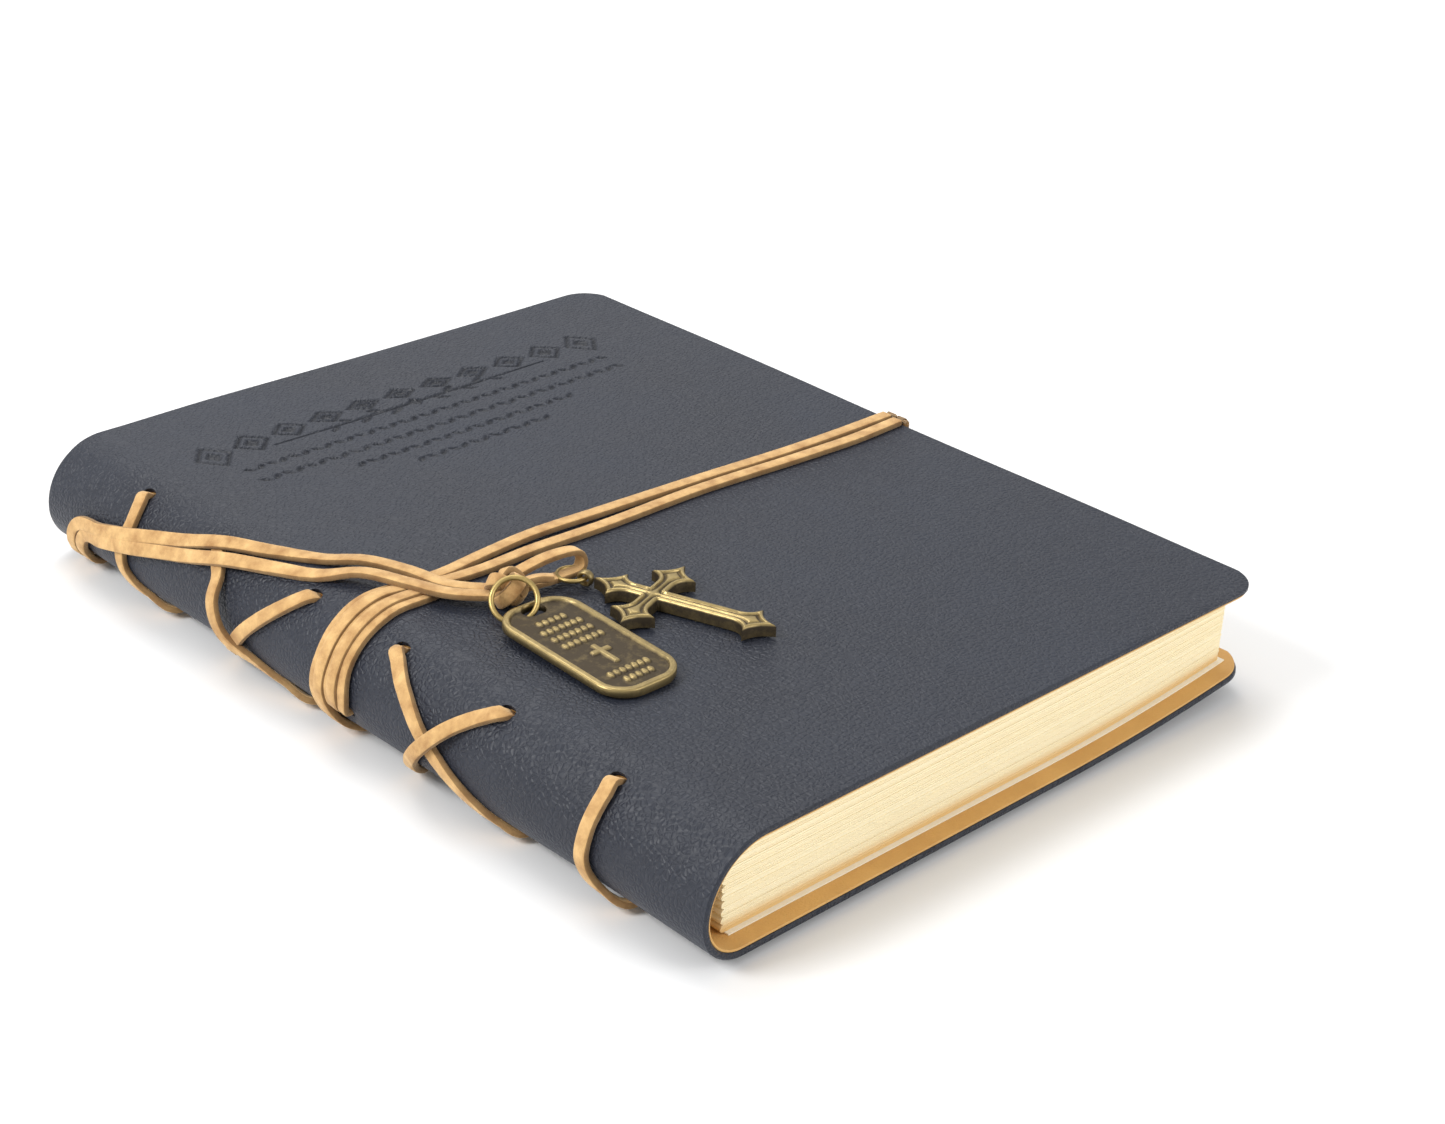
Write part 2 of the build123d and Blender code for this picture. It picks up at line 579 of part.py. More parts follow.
# Name tag: a rimmed plate with a plain cross and bars in low relief
tilt = radians(TAG_TILT)
tag_plane = Plane(origin=Vector(*TAG_HOLE), x_dir=(1, 0, 0), z_dir=(0, -sin(tilt), cos(tilt)))
plate_y = TAG_HEAD - TAG_L / 2
with BuildPart() as tag:
    with BuildSketch(tag_plane.offset(-TAG_T / 2)):
        with Locations((0, plate_y)):
            RectangleRounded(TAG_W, TAG_L, TAG_CORNER_R)
    extrude(amount=TAG_T)
    with BuildSketch(tag_plane.offset(TAG_T / 2 - TAG_RECESS)):
        with Locations((0, plate_y)):
            RectangleRounded(TAG_W - 2 * TAG_RIM, TAG_L - 2 * TAG_RIM, TAG_CORNER_R - TAG_RIM)
    extrude(amount=TAG_RECESS, mode=Mode.SUBTRACT)
    with BuildSketch(tag_plane.offset(TAG_T / 2 - TAG_RECESS)):
        for y, wide, high in TAG_CROSS:
            with Locations((0, y)):
                Rectangle(wide, high)
        for y, half in TAG_BARS:
            with Locations((0, y)):
                Rectangle(2 * half, TAG_BAR_W)
    extrude(amount=TAG_RELIEF)
    with BuildSketch(tag_plane.offset(-TAG_T)):
        SlotOverall(*TAG_SLOT)
    extrude(amount=2 * TAG_T, mode=Mode.SUBTRACT)
save(tag, "tag")

# Cross: four flared arms with pointed ends, and an eye at the head whose bore runs along the arms
cross_turn = radians(CROSS_TURN)
cross_foot_way = Vector(sin(cross_turn), -cos(cross_turn), 0)
cross_middle = Vector(*CROSS_EYE) + cross_foot_way * (CROSS_HEAD_GAP + CROSS_ARMS[0])

# The ring goes through the eye in line with its bore
cross_ring_c = Vector(*CROSS_EYE) - cross_foot_way * CROSS_RING_R
with BuildPart() as cross_ring:
    add(ring_solid(cross_ring_c, (0, 0, 1), CROSS_RING_R, CROSS_WIRE_R))
save(cross_ring, "cross_ring")


def arm_plane(turn, z):
    """Plane at the cross's middle whose Y points along an arm, turn degrees from the head."""
    a = cross_turn + radians(turn)
    return Plane(origin=(cross_middle.X, cross_middle.Y, z), x_dir=(cos(a), sin(a), 0), z_dir=(0, 0, 1))


def arm_outline(length):
    """Outline of one flared arm with a pointed end, along +Y from the cross's middle."""
    with BuildSketch() as arm:
        with BuildLine():
            for side in (-1, 1):
                neck = (side * CROSS_NECK, length - CROSS_NECK_BACK)
                flare = (side * CROSS_FLARE, length - CROSS_FLARE_BACK)
                neck_bend = (side * CROSS_NECK_BEND[0], length - CROSS_NECK_BEND[1])
                tip_bend = (side * CROSS_TIP_BEND[0], length - CROSS_TIP_BEND[1])
                Line((side * CROSS_NECK, 0), neck)
                ThreePointArc(neck, neck_bend, flare)
                ThreePointArc(flare, tip_bend, (0, length))
            Line((-CROSS_NECK, 0), (CROSS_NECK, 0))
        make_face()
    return arm.sketch


CROSS_LOW = TOP + CROSS_LIFT
eye_plane = Plane(origin=CROSS_EYE, x_dir=(0, 0, 1), z_dir=(cos(cross_turn), sin(cross_turn), 0))
with BuildPart() as cross:
    for turn, length in zip((0, 180, 90, 270), CROSS_ARMS):
        with BuildSketch(arm_plane(turn, CROSS_LOW)):
            add(arm_outline(length))
        extrude(amount=CROSS_T)
    with BuildSketch(eye_plane):
        Circle(EYE_R)
    extrude(amount=EYE_W / 2, both=True)
    with BuildSketch(eye_plane):
        Circle(EYE_BORE_R)
    extrude(amount=CROSS_FLARE, both=True, mode=Mode.SUBTRACT)
save(cross, "cross")
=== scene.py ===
# %% [markdown]
# A laced journal in Blender
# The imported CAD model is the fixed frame: its bodies say where things are and how they move.
# Every visible piece is then built around it as the real thing is made: soft leather wrapped over
# sewn pages, suede laces threaded through the spine, and two cast charms on a wrap tie.

# %% Load the frame
import bmesh
import bpy
import numpy as np
from math import asin, cos, pi, radians, sin, sqrt
from mathutils import Matrix, Vector


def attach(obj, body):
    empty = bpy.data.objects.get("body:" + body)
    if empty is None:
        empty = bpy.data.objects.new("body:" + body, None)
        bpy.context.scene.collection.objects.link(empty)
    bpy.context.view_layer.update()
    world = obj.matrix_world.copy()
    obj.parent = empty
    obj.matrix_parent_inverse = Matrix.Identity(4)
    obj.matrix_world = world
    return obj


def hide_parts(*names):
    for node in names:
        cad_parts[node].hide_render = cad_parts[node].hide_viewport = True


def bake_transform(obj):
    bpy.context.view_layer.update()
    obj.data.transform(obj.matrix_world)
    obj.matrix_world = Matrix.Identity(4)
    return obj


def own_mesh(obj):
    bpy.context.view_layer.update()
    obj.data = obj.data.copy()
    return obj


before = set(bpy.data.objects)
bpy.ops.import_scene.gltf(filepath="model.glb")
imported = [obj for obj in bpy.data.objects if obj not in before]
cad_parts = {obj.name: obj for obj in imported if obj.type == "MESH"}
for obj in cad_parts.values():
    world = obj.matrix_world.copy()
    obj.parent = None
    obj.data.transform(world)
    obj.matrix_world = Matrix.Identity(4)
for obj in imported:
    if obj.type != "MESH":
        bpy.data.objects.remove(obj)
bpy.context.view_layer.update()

MM = 0.001
SPINE_BODY = "back_and_spine"
COVER_BODY = "front_cover"

# %% [markdown]
# The camera looks down over the spine and the tail of the book, a little rolled, as a hand-held one
# is. It could be aimed by angles alone, but a turn built from its own axes keeps the roll exact.

# %% Camera
CAMERA_AT = Vector((-322.7, -347.6, 255.75)) * MM
CAMERA_AZIMUTH = radians(-45.1)
CAMERA_ELEVATION = radians(26.96)
CAMERA_ROLL = radians(2.64)
CAMERA_LENS = 63.7


def aim(azimuth, elevation, roll):
    """Turn of a camera that looks back along this direction, rolled about its own axis."""
    back = Vector((sin(azimuth) * cos(elevation), -cos(azimuth) * cos(elevation), sin(elevation)))
    right = (-back).cross(Vector((0, 0, 1))).normalized()
    up = right.cross(-back)
    rolled_right = cos(roll) * right + sin(roll) * up
    rolled_up = cos(roll) * up - sin(roll) * right
    return Matrix((rolled_right, rolled_up, back)).transposed().to_4x4()


camera_data = bpy.data.cameras.new("camera")
camera_data.lens = CAMERA_LENS
camera_data.sensor_width = 36.0
camera_data.sensor_fit = "HORIZONTAL"
camera_data.clip_start = 0.01
camera = bpy.data.objects.new("camera", camera_data)
camera.matrix_world = Matrix.Translation(CAMERA_AT) @ aim(CAMERA_AZIMUTH, CAMERA_ELEVATION, CAMERA_ROLL)
bpy.context.scene.collection.objects.link(camera)
bpy.context.scene.camera = camera
print("camera", tuple(round(v, 3) for v in camera.location))

# %% [markdown]
# The one free cord is the short loop of lace that carries the cross. Its line is a smooth NURBS
# spline through the same points as its solid, made first, so its real length is known early.

# %% Cord: the line of the loop
LOOP_ROUTE = [
    (-0.0423, -0.0110, 0.02865),
    (-0.0372, -0.0114, 0.02995),
    (-0.0324, -0.0123, 0.03075),
    (-0.0282, -0.0133, 0.03085),
    (-0.0269, -0.0137, 0.02965),
    (-0.0269, -0.0141, 0.02805),
    (-0.0282, -0.0145, 0.02687),
    (-0.0326, -0.0144, 0.02685),
    (-0.0372, -0.0139, 0.02687),
    (-0.0416, -0.0132, 0.02690),
]


def nurbs_line(points):
    """Points read from the smooth spline that has these control points."""
    curve = bpy.data.curves.new("line", "CURVE")
    curve.dimensions = "3D"
    curve.resolution_u = 12
    spline = curve.splines.new("NURBS")
    spline.points.add(len(points) - 1)
    for place, point in zip(spline.points, points):
        place.co = (*point, 1)
    spline.order_u = 3
    spline.use_endpoint_u = True
    holder = bpy.data.objects.new("line", curve)
    bpy.context.scene.collection.objects.link(holder)
    line = bpy.data.meshes.new_from_object(holder.evaluated_get(bpy.context.evaluated_depsgraph_get()))
    places = np.array([v.co[:] for v in line.vertices])
    bpy.data.objects.remove(holder)
    return places


loop_line = nurbs_line(LOOP_ROUTE)
print("loop of", round(1000 * np.linalg.norm(np.diff(loop_line, axis=0), axis=1).sum(), 1), "mm")

# %% [markdown]
# The book lies on a plain pale floor under large soft lights, like a product table. Big area lights
# give the leather its broad, quiet highlights, and the bright surroundings fill the shadows.

# %% Floor, surroundings and lights
FLOOR_SIZE = 6.0


def plane_mesh(name, size):
    """A flat square on the table."""
    mesh = bpy.data.meshes.new(name)
    h = size / 2
    mesh.from_pydata([(-h, -h, 0), (h, -h, 0), (h, h, 0), (-h, h, 0)], [], [(0, 1, 2, 3)])
    return mesh


floor = bpy.data.objects.new("floor", plane_mesh("floor", FLOOR_SIZE))
bpy.context.scene.collection.objects.link(floor)
floor_paint = bpy.data.materials.new("pale_floor")
floor_paint.use_nodes = True
floor_shader = floor_paint.node_tree.nodes["Principled BSDF"]
floor_shader.inputs["Base Color"].default_value = (0.84, 0.84, 0.84, 1)
floor_shader.inputs["Roughness"].default_value = 0.9
floor_shader.inputs["Specular IOR Level"].default_value = 0.1
floor.data.materials.append(floor_paint)

world = bpy.data.worlds.new("studio")
world.use_nodes = True
world.node_tree.nodes["Background"].inputs["Color"].default_value = (1.0, 1.0, 1.0, 1)
world.node_tree.nodes["Background"].inputs["Strength"].default_value = 0.70
bpy.context.scene.world = world

# name: place, size, power
LIGHTS = {
    "sky_panel": ((0.25, 0.75, 1.25), 0.9, 9.0),
    "spine_panel": ((-0.95, 0.30, 0.85), 0.45, 11.0),
    "tail_panel": ((0.45, -1.2, 0.7), 0.7, 6.0),
}
for light_name, (place, size, power) in LIGHTS.items():
    light_data = bpy.data.lights.new(light_name, "AREA")
    light_data.shape = "SQUARE"
    light_data.size = size
    light_data.energy = power
    light = bpy.data.objects.new(light_name, light_data)
    light.location = place
    light.rotation_euler = (-Vector(place)).to_track_quat("-Z", "Y").to_euler()
    bpy.context.scene.collection.objects.link(light)
bpy.context.scene.view_settings.view_transform = "Standard"
print("lights", len(LIGHTS))

# %% [markdown]
# Finishes are made of nodes. A small helper adds a node, sets its fields and feeds its inputs, so
# each material below reads like a list of what the surface is made of. The same helper builds the
# Geometry Nodes trees further down.

# %% Node helpers
def put(tree, kind, inputs=None, **fields):
    """Adds a node, sets its fields, and sets or links its inputs."""
    made = tree.nodes.new(kind)
    for field, value in fields.items():
        setattr(made, field, value)
    for key, value in (inputs or {}).items():
        if isinstance(value, bpy.types.NodeSocket):
            tree.links.new(value, made.inputs[key])
        else:
            made.inputs[key].default_value = value
    return made


def new_group(name, kind, inputs, outputs):
    """A node group with named sockets, and its two ends."""
    tree = bpy.data.node_groups.new(name, kind)
    for socket_name, kind_name, value in inputs:
        socket = tree.interface.new_socket(socket_name, in_out="INPUT", socket_type="NodeSocket" + kind_name)
        if value is not None:
            socket.default_value = value
    for socket_name, kind_name in outputs:
        tree.interface.new_socket(socket_name, in_out="OUTPUT", socket_type="NodeSocket" + kind_name)
    return tree, put(tree, "NodeGroupInput").outputs, put(tree, "NodeGroupOutput").inputs


def sum_up(tree, operation, *values, clamp=False):
    """A math node over sockets or numbers."""
    made = put(tree, "ShaderNodeMath", dict(enumerate(values)), operation=operation, use_clamp=clamp)
    return made.outputs[0]


def blend_colours(tree, factor, first, second, mode="MIX"):
    """Mixes two colours by a factor."""
    made = put(tree, "ShaderNodeMix", data_type="RGBA", blend_type=mode)
    for key, value in ((0, factor), (6, first), (7, second)):
        if isinstance(value, bpy.types.NodeSocket):
            tree.links.new(value, made.inputs[key])
        else:
            made.inputs[key].default_value = value
    return made.outputs[2]


# %% [markdown]
# Effects that several finishes share are node groups. The first is a soft mottle between two tones:
# dye, paper and suede are never one even colour.

# %% Shared effect: two-tone mottle
mottle, ins, outs = new_group(
    "two_tone_mottle", "ShaderNodeTree",
    [("Place", "Vector", None), ("Scale", "Float", 60.0), ("Contrast", "Float", 1.0),
     ("Dark", "Color", (0.1, 0.1, 0.1, 1)), ("Light", "Color", (0.5, 0.5, 0.5, 1))],
    [("Color", "Color"), ("Mask", "Float")])
cloud = put(mottle, "ShaderNodeTexNoise", {"Vector": ins["Place"], "Scale": ins["Scale"], "Detail": 5.0,
                                           "Roughness": 0.6})
centred = sum_up(mottle, "SUBTRACT", cloud.outputs[0], 0.5)
spread = sum_up(mottle, "MULTIPLY_ADD", centred, ins["Contrast"], 0.5, clamp=True)
mottle.links.new(blend_colours(mottle, spread, ins["Dark"], ins["Light"]), outs["Color"])
mottle.links.new(spread, outs["Mask"])
print("group", mottle.name)

# %% [markdown]
# Grained hide is small pebbles with creases between them. Cells of a Voronoi texture make the
# pebbles, and a noise bends them first, so that no straight cell edges are left.

# %% Shared effect: pebbled grain with creases
grain, ins, outs = new_group(
    "pebbled_grain", "ShaderNodeTree",
    [("Place", "Vector", None), ("Pebbles", "Float", 700.0), ("Creases", "Float", 160.0),
     ("Crease Depth", "Float", 0.5)],
    [("Height", "Float"), ("Valley", "Float")])
warp = put(grain, "ShaderNodeTexNoise", {"Vector": ins["Place"], "Scale": ins["Creases"], "Detail": 3.0})
shift = put(grain, "ShaderNodeVectorMath", {0: warp.outputs["Color"], 3: 0.0022}, operation="SCALE")
warped = put(grain, "ShaderNodeVectorMath", {0: ins["Place"], 1: shift.outputs[0]}, operation="ADD")
cells = put(grain, "ShaderNodeTexVoronoi", {"Vector": warped.outputs[0], "Scale": ins["Pebbles"]},
            feature="DISTANCE_TO_EDGE")
pebble = put(grain, "ShaderNodeMapRange",
             {"Value": cells.outputs["Distance"], "From Min": 0.0, "From Max": 0.28},
             interpolation_type="SMOOTHSTEP")
folds = put(grain, "ShaderNodeTexNoise", {"Vector": warped.outputs[0], "Scale": ins["Creases"], "Detail": 6.0,
                                          "Roughness": 0.65})
height = sum_up(grain, "MULTIPLY_ADD", folds.outputs[0], ins["Crease Depth"], pebble.outputs[0])
grain.links.new(height, outs["Height"])
grain.links.new(sum_up(grain, "SUBTRACT", 1.0, pebble.outputs[0]), outs["Valley"])
print("group", grain.name)

# %% [markdown]
# Antique brass is dark in its hollows and rubbed bright on its high parts. The mask of what stands
# high comes from the mesh, and noise breaks up its border.

# %% Shared effect: worn cast metal
wear, ins, outs = new_group(
    "worn_metal", "ShaderNodeTree",
    [("Place", "Vector", None), ("High", "Float", 0.0), ("Low Color", "Color", (0.05, 0.04, 0.03, 1)),
     ("High Color", "Color", (0.4, 0.3, 0.1, 1))],
    [("Color", "Color"), ("Roughness", "Float"), ("Height", "Float")])
patina = put(wear, "ShaderNodeTexNoise",
             {"Vector": ins["Place"], "Scale": 420.0, "Detail": 6.0, "Roughness": 0.7})
uneven = sum_up(wear, "MULTIPLY", sum_up(wear, "SUBTRACT", patina.outputs[0], 0.5), 1.1)
rubbed = sum_up(wear, "ADD", ins["High"], uneven, clamp=True)
wear.links.new(blend_colours(wear, rubbed, ins["Low Color"], ins["High Color"]), outs["Color"])
wear.links.new(sum_up(wear, "MULTIPLY_ADD", rubbed, -0.28, 0.58), outs["Roughness"])
wear.links.new(patina.outputs[0], outs["Height"])
print("group", wear.name)


def start_finish(name, **constants):
    """A new material, with what never varies set on the shader's own sockets."""
    finish = bpy.data.materials.new(name)
    finish.use_nodes = True
    tree = finish.node_tree
    shader = tree.nodes["Principled BSDF"]
    for key, value in constants.items():
        shader.inputs[key.replace("_", " ")].default_value = value
    place = put(tree, "ShaderNodeTexCoord").outputs["Object"]
    return finish, tree, shader, place


def use_group(tree, group, inputs):
    """Places a shared effect in a material."""
    return put(tree, "ShaderNodeGroup", inputs, node_tree=group)


def raise_bump(tree, shader, height, strength, distance):
    """Feeds a height through a Bump node into the shader's normal."""
    bump = put(tree, "ShaderNodeBump", {"Height": height, "Strength": strength, "Distance": distance})
    tree.links.new(bump.outputs[0], shader.inputs["Normal"])


# %% [markdown]
# The cover is dyed leather with a fine pebbled grain, and the creases of its grain carry painted shade. It's
# almost black in the pressed-in ornament and a little chalkier where hands rub it, so two masks steer its
# colour and its roughness.

# %% Finish: navy leather
leather, tree, shader, place = start_finish("navy_leather", Sheen_Weight=0.04, Sheen_Roughness=0.4)
shader.inputs["Sheen Tint"].default_value = (0.75, 0.82, 1.0, 1)
shader.inputs["Specular IOR Level"].default_value = 0.4
tone = use_group(tree, mottle, {"Place": place, "Scale": 28.0, "Contrast": 1.6,
                                "Dark": (0.009, 0.011, 0.019, 1), "Light": (0.021, 0.026, 0.040, 1)})
skin_grain = use_group(tree, grain, {"Place": place, "Pebbles": 850.0, "Creases": 190.0, "Crease Depth": 0.9})
pressed = put(tree, "ShaderNodeAttribute", attribute_name="pressed").outputs["Fac"]
darker = blend_colours(tree, sum_up(tree, "MULTIPLY", pressed, 0.85), tone.outputs["Color"],
                       (0.004, 0.005, 0.008, 1))
# Painted shade: the creases between the grain's pebbles are darkened in the colour, where shade would fall.
crease_shade = sum_up(tree, "MULTIPLY", skin_grain.outputs["Valley"], 0.35)
deep = blend_colours(tree, crease_shade, darker, (0.012, 0.014, 0.022, 1))
tree.links.new(deep, shader.inputs["Base Color"])
rough = sum_up(tree, "MULTIPLY_ADD", tone.outputs["Mask"], 0.14, 0.40)
tree.links.new(sum_up(tree, "MULTIPLY_ADD", pressed, -0.06, rough), shader.inputs["Roughness"])
raise_bump(tree, shader, skin_grain.outputs["Height"], 0.5, 0.00025)
print("finish", leather.name)

# %% [markdown]
# The lining is thin undyed hide, glued in: an even tan with a finer grain than the outside.

# %% Finish: tan lining
lining, tree, shader, place = start_finish("tan_lining", Roughness=0.62)
tone = use_group(tree, mottle, {"Place": place, "Scale": 90.0, "Contrast": 1.3,
                                "Dark": (0.56, 0.30, 0.085, 1), "Light": (0.74, 0.45, 0.15, 1)})
nap = use_group(tree, grain, {"Place": place, "Pebbles": 1300.0, "Creases": 300.0, "Crease Depth": 0.6})
tree.links.new(tone.outputs["Color"], shader.inputs["Base Color"])
raise_bump(tree, shader, nap.outputs["Height"], 0.25, 0.00015)
print("finish", lining.name)

# %% [markdown]
# Suede is the flesh side of the hide: matt, napped and patchy, and darker on the sides of each strap. The
# sheen stands for the nap, which would be far too fine to model.

# %% Finish: suede lace
suede, tree, shader, place = start_finish(
    "suede_lace", Roughness=0.95, Sheen_Weight=0.35, Sheen_Roughness=0.5)
shader.inputs["Sheen Tint"].default_value = (1.0, 0.82, 0.6, 1)
shader.inputs["Specular IOR Level"].default_value = 0.15
tone = use_group(tree, mottle, {"Place": place, "Scale": 260.0, "Contrast": 2.6,
                                "Dark": (0.42, 0.225, 0.085, 1), "Light": (0.80, 0.52, 0.225, 1)})
fibre = put(tree, "ShaderNodeTexNoise", {"Vector": place, "Scale": 2600.0, "Detail": 3.0, "Roughness": 0.7})
speckle = blend_colours(tree, sum_up(tree, "MULTIPLY", fibre.outputs[0], 0.30), tone.outputs["Color"],
                        (0.20, 0.095, 0.035, 1))
# The sides of each strap, marked in the nodes by which way they face, are darker in the colour.
cut = put(tree, "ShaderNodeAttribute", attribute_name="cut").outputs["Fac"]
edge_dark = blend_colours(tree, sum_up(tree, "MULTIPLY", cut, 0.62), speckle, (0.085, 0.042, 0.018, 1))
tree.links.new(edge_dark, shader.inputs["Base Color"])
raise_bump(tree, shader, fibre.outputs[0], 0.7, 0.0002)
print("finish", suede.name)

# %% [markdown]
# Page edges are warm cream with fine lines, and low in the block a painted golden shade stands in for the
# shade and warm reflection there. Each leaf brings its own tone from the mesh. Flyleaves are whiter, and the
# sewing thread is waxed and twisted.

# %% Finish: page edges, flyleaf paper and thread
pages, tree, shader, place = start_finish("page_edges", Roughness=0.72)
leaf_tone = put(tree, "ShaderNodeAttribute", attribute_name="tone").outputs["Fac"]
stretched = put(tree, "ShaderNodeMapping", {"Vector": place, "Scale": (0.06, 0.06, 1.0)})
lines = put(tree, "ShaderNodeTexNoise",
            {"Vector": stretched.outputs[0], "Scale": 900.0, "Detail": 4.0, "Roughness": 0.75})
patches = put(tree, "ShaderNodeTexNoise", {"Vector": place, "Scale": 24.0, "Detail": 2.0})
fine_lines = sum_up(tree, "MULTIPLY", lines.outputs[0], 0.9)
line_mask = sum_up(tree, "MULTIPLY_ADD", leaf_tone, 0.4, fine_lines, clamp=True)
paper = blend_colours(tree, line_mask, (0.89, 0.76, 0.47, 1), (0.94, 0.85, 0.60, 1))
# Painted shade: the lowest leaves are tinted golden, for the shade and the lining's warm reflection near the
# back cover.
share = put(tree, "ShaderNodeAttribute", attribute_name="share").outputs["Fac"]
painted_shade_band = put(tree, "ShaderNodeMapRange",
               {"Value": share, "From Min": 0.15, "From Max": 0.015, "To Min": 0.0, "To Max": 0.85},
               interpolation_type="SMOOTHSTEP")
golden = blend_colours(tree, painted_shade_band.outputs[0], paper, (0.72, 0.42, 0.10, 1))
warm = blend_colours(tree, sum_up(tree, "MULTIPLY", patches.outputs[0], 0.25), golden, (0.96, 0.86, 0.60, 1))
tree.links.new(warm, shader.inputs["Base Color"])
raise_bump(tree, shader, lines.outputs[0], 0.25, 0.0001)
flyleaf_paper, tree, shader, place = start_finish("flyleaf_paper", Roughness=0.8)
fleck = use_group(tree, mottle, {"Place": place, "Scale": 500.0, "Contrast": 1.5,
                                 "Dark": (0.86, 0.82, 0.66, 1), "Light": (0.94, 0.91, 0.80, 1)})
tree.links.new(fleck.outputs["Color"], shader.inputs["Base Color"])
raise_bump(tree, shader, fleck.outputs["Mask"], 0.1, 0.0001)
thread_finish, tree, shader, place = start_finish("waxed_thread", Roughness=0.6)
twist = use_group(tree, mottle, {"Place": place, "Scale": 1500.0, "Contrast": 2.0,
                                 "Dark": (0.45, 0.38, 0.26, 1), "Light": (0.80, 0.74, 0.60, 1)})
tree.links.new(twist.outputs["Color"], shader.inputs["Base Color"])
print("finish", pages.name, flyleaf_paper.name, thread_finish.name)

# %% [markdown]
# The charms and the rings are the same aged brass. The rings rub against each other, so they are
# brighter. One function makes both finishes.

# %% Finish: antique brass, cast and wire
def cast_finish(name, low, high, mask_name):
    """Aged metal: dark in the hollows, rubbed bright on what stands proud."""
    finish, tree, shader, place = start_finish(name, Metallic=0.9)
    proud = put(tree, "ShaderNodeAttribute", attribute_name=mask_name).outputs["Fac"]
    aged = use_group(tree, wear, {"Place": place, "High": proud, "Low Color": low, "High Color": high})
    tree.links.new(aged.outputs["Color"], shader.inputs["Base Color"])
    tree.links.new(aged.outputs["Roughness"], shader.inputs["Roughness"])
    raise_bump(tree, shader, aged.outputs["Height"], 0.25, 0.0002)
    return finish


brass = cast_finish("antique_brass", (0.075, 0.058, 0.038, 1), (0.44, 0.33, 0.14, 1), "proud")
ring_brass = cast_finish("ring_brass", (0.22, 0.15, 0.05, 1), (0.62, 0.46, 0.18, 1), "proud")
print("finish", brass.name, ring_brass.name)


# %% [markdown]
# Leather, laces and tie all follow one curve: over the top, round the shoulder and the heel of the
# spine, and back under the book. So one function gives a point on the cover from how far along the
# hide it is and how far along the spine. With it the straps are drawn as if on a flat hide.

# %% The line that the cover follows, in millimetres
HALF_WIDTH = 77.0
HALF_LENGTH = 102.5
UNDERSIDE = 1.45
TOP = 25.25
SHOULDER_R = 14.0
HEEL_R = 9.8
SHOULDER_X = SHOULDER_R - HALF_WIDTH
HEEL_X = HEEL_R - HALF_WIDTH
BEND_Z = UNDERSIDE + HEEL_R
CURL_X = 15.0
CURL_R = 530.0
LEATHER_T = 1.3
LINING_T = 0.5
CORNER_R = 8.0
SHOULDER_END = SHOULDER_R * pi / 2
HEEL_END = SHOULDER_END + HEEL_R * pi / 2


def cover_frame(t, y):
    """Points on the cover's outer face, with the way along the hide and the way out of it.
    t is the distance from the start of the shoulder, negative on the front cover."""
    t, y = np.broadcast_arrays(np.asarray(t, float), np.asarray(y, float))
    shoulder = np.clip(t, 0, SHOULDER_END) / SHOULDER_R
    heel = np.clip(t - SHOULDER_END, 0, HEEL_END - SHOULDER_END) / HEEL_R
    curl = np.maximum(t - HEEL_END - (CURL_X - HEEL_X), 0) / CURL_R
    angle = shoulder + heel + curl
    under = np.clip(t - HEEL_END, 0, CURL_X - HEEL_X)
    x = SHOULDER_X - np.minimum(t, 0) - SHOULDER_R * np.sin(shoulder)
    z = BEND_Z + SHOULDER_R * np.cos(shoulder)
    x = x + (HEEL_X + HALF_WIDTH) * (1 - np.cos(heel)) + under + CURL_R * np.sin(curl)
    z = z - HEEL_R * np.sin(heel) + CURL_R * (1 - np.cos(curl))
    out = np.stack([-np.sin(angle), 0 * y, np.cos(angle)], -1)
    along = np.stack([-np.cos(angle), 0 * y, -np.sin(angle)], -1)
    return np.stack([x, y, z], -1), along, out


def on_cover(t, y, lift):
    """Points a distance off the cover's outer face."""
    place, _, out = cover_frame(t, y)
    return place + out * np.asarray(lift, float)[..., None]


seam_t = SHOULDER_R * asin(4.0 / SHOULDER_R)
print("seam of the hide at x", np.round(on_cover(seam_t, 0.0, 0.0), 2))

# %% [markdown]
# Every hide, sheet and casting is closed, as a real one is. A skin over a run of outlines makes
# them all, and small helpers join meshes, cut one from another and store masks.

# %% Helpers for closed skins
def new_piece(name, mesh, finish, body=None):
    """A finished piece at the origin, with its material."""
    mesh.name = name
    if finish is not None:
        mesh.materials.clear()
        mesh.materials.append(finish)
    piece = bpy.data.objects.new(name, mesh)
    bpy.context.scene.collection.objects.link(piece)
    if body is not None:
        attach(piece, body)
    print(name, len(mesh.polygons), "faces")
    return piece


def skin(name, outlines, sharp=35.0, caps=True):
    """A closed skin over a run of outlines that have equal numbers of points, capped at its ends."""
    rings = np.asarray(outlines, float) * MM
    rows, columns, _ = rings.shape
    index = np.arange(rows * columns).reshape(rows, columns)
    next_column = np.roll(index, -1, axis=1)
    quads = np.stack([index[:-1], next_column[:-1], next_column[1:], index[1:]], -1).reshape(-1, 4)
    faces = quads.tolist()
    if caps:
        faces += [index[0][::-1].tolist(), index[-1].tolist()]
    mesh = bpy.data.meshes.new(name)
    mesh.from_pydata(rings.reshape(-1, 3).tolist(), [], faces)
    return tidy(mesh, sharp)


def tidy(mesh, sharp=35.0):
    """Turns the faces outwards, and shades smooth up to an angle."""
    work = bmesh.new()
    work.from_mesh(mesh)
    bmesh.ops.recalc_face_normals(work, faces=work.faces)
    work.to_mesh(mesh)
    work.free()
    mesh.polygons.foreach_set("use_smooth", [True] * len(mesh.polygons))
    mesh.set_sharp_from_angle(angle=radians(sharp))
    mesh.update()
    return mesh


def set_mask(mesh, name, values):
    """Stores one number for each point, for a material to read."""
    mask = mesh.attributes.new(name, "FLOAT", "POINT")
    mask.data.foreach_set("value", np.asarray(values, np.float32))


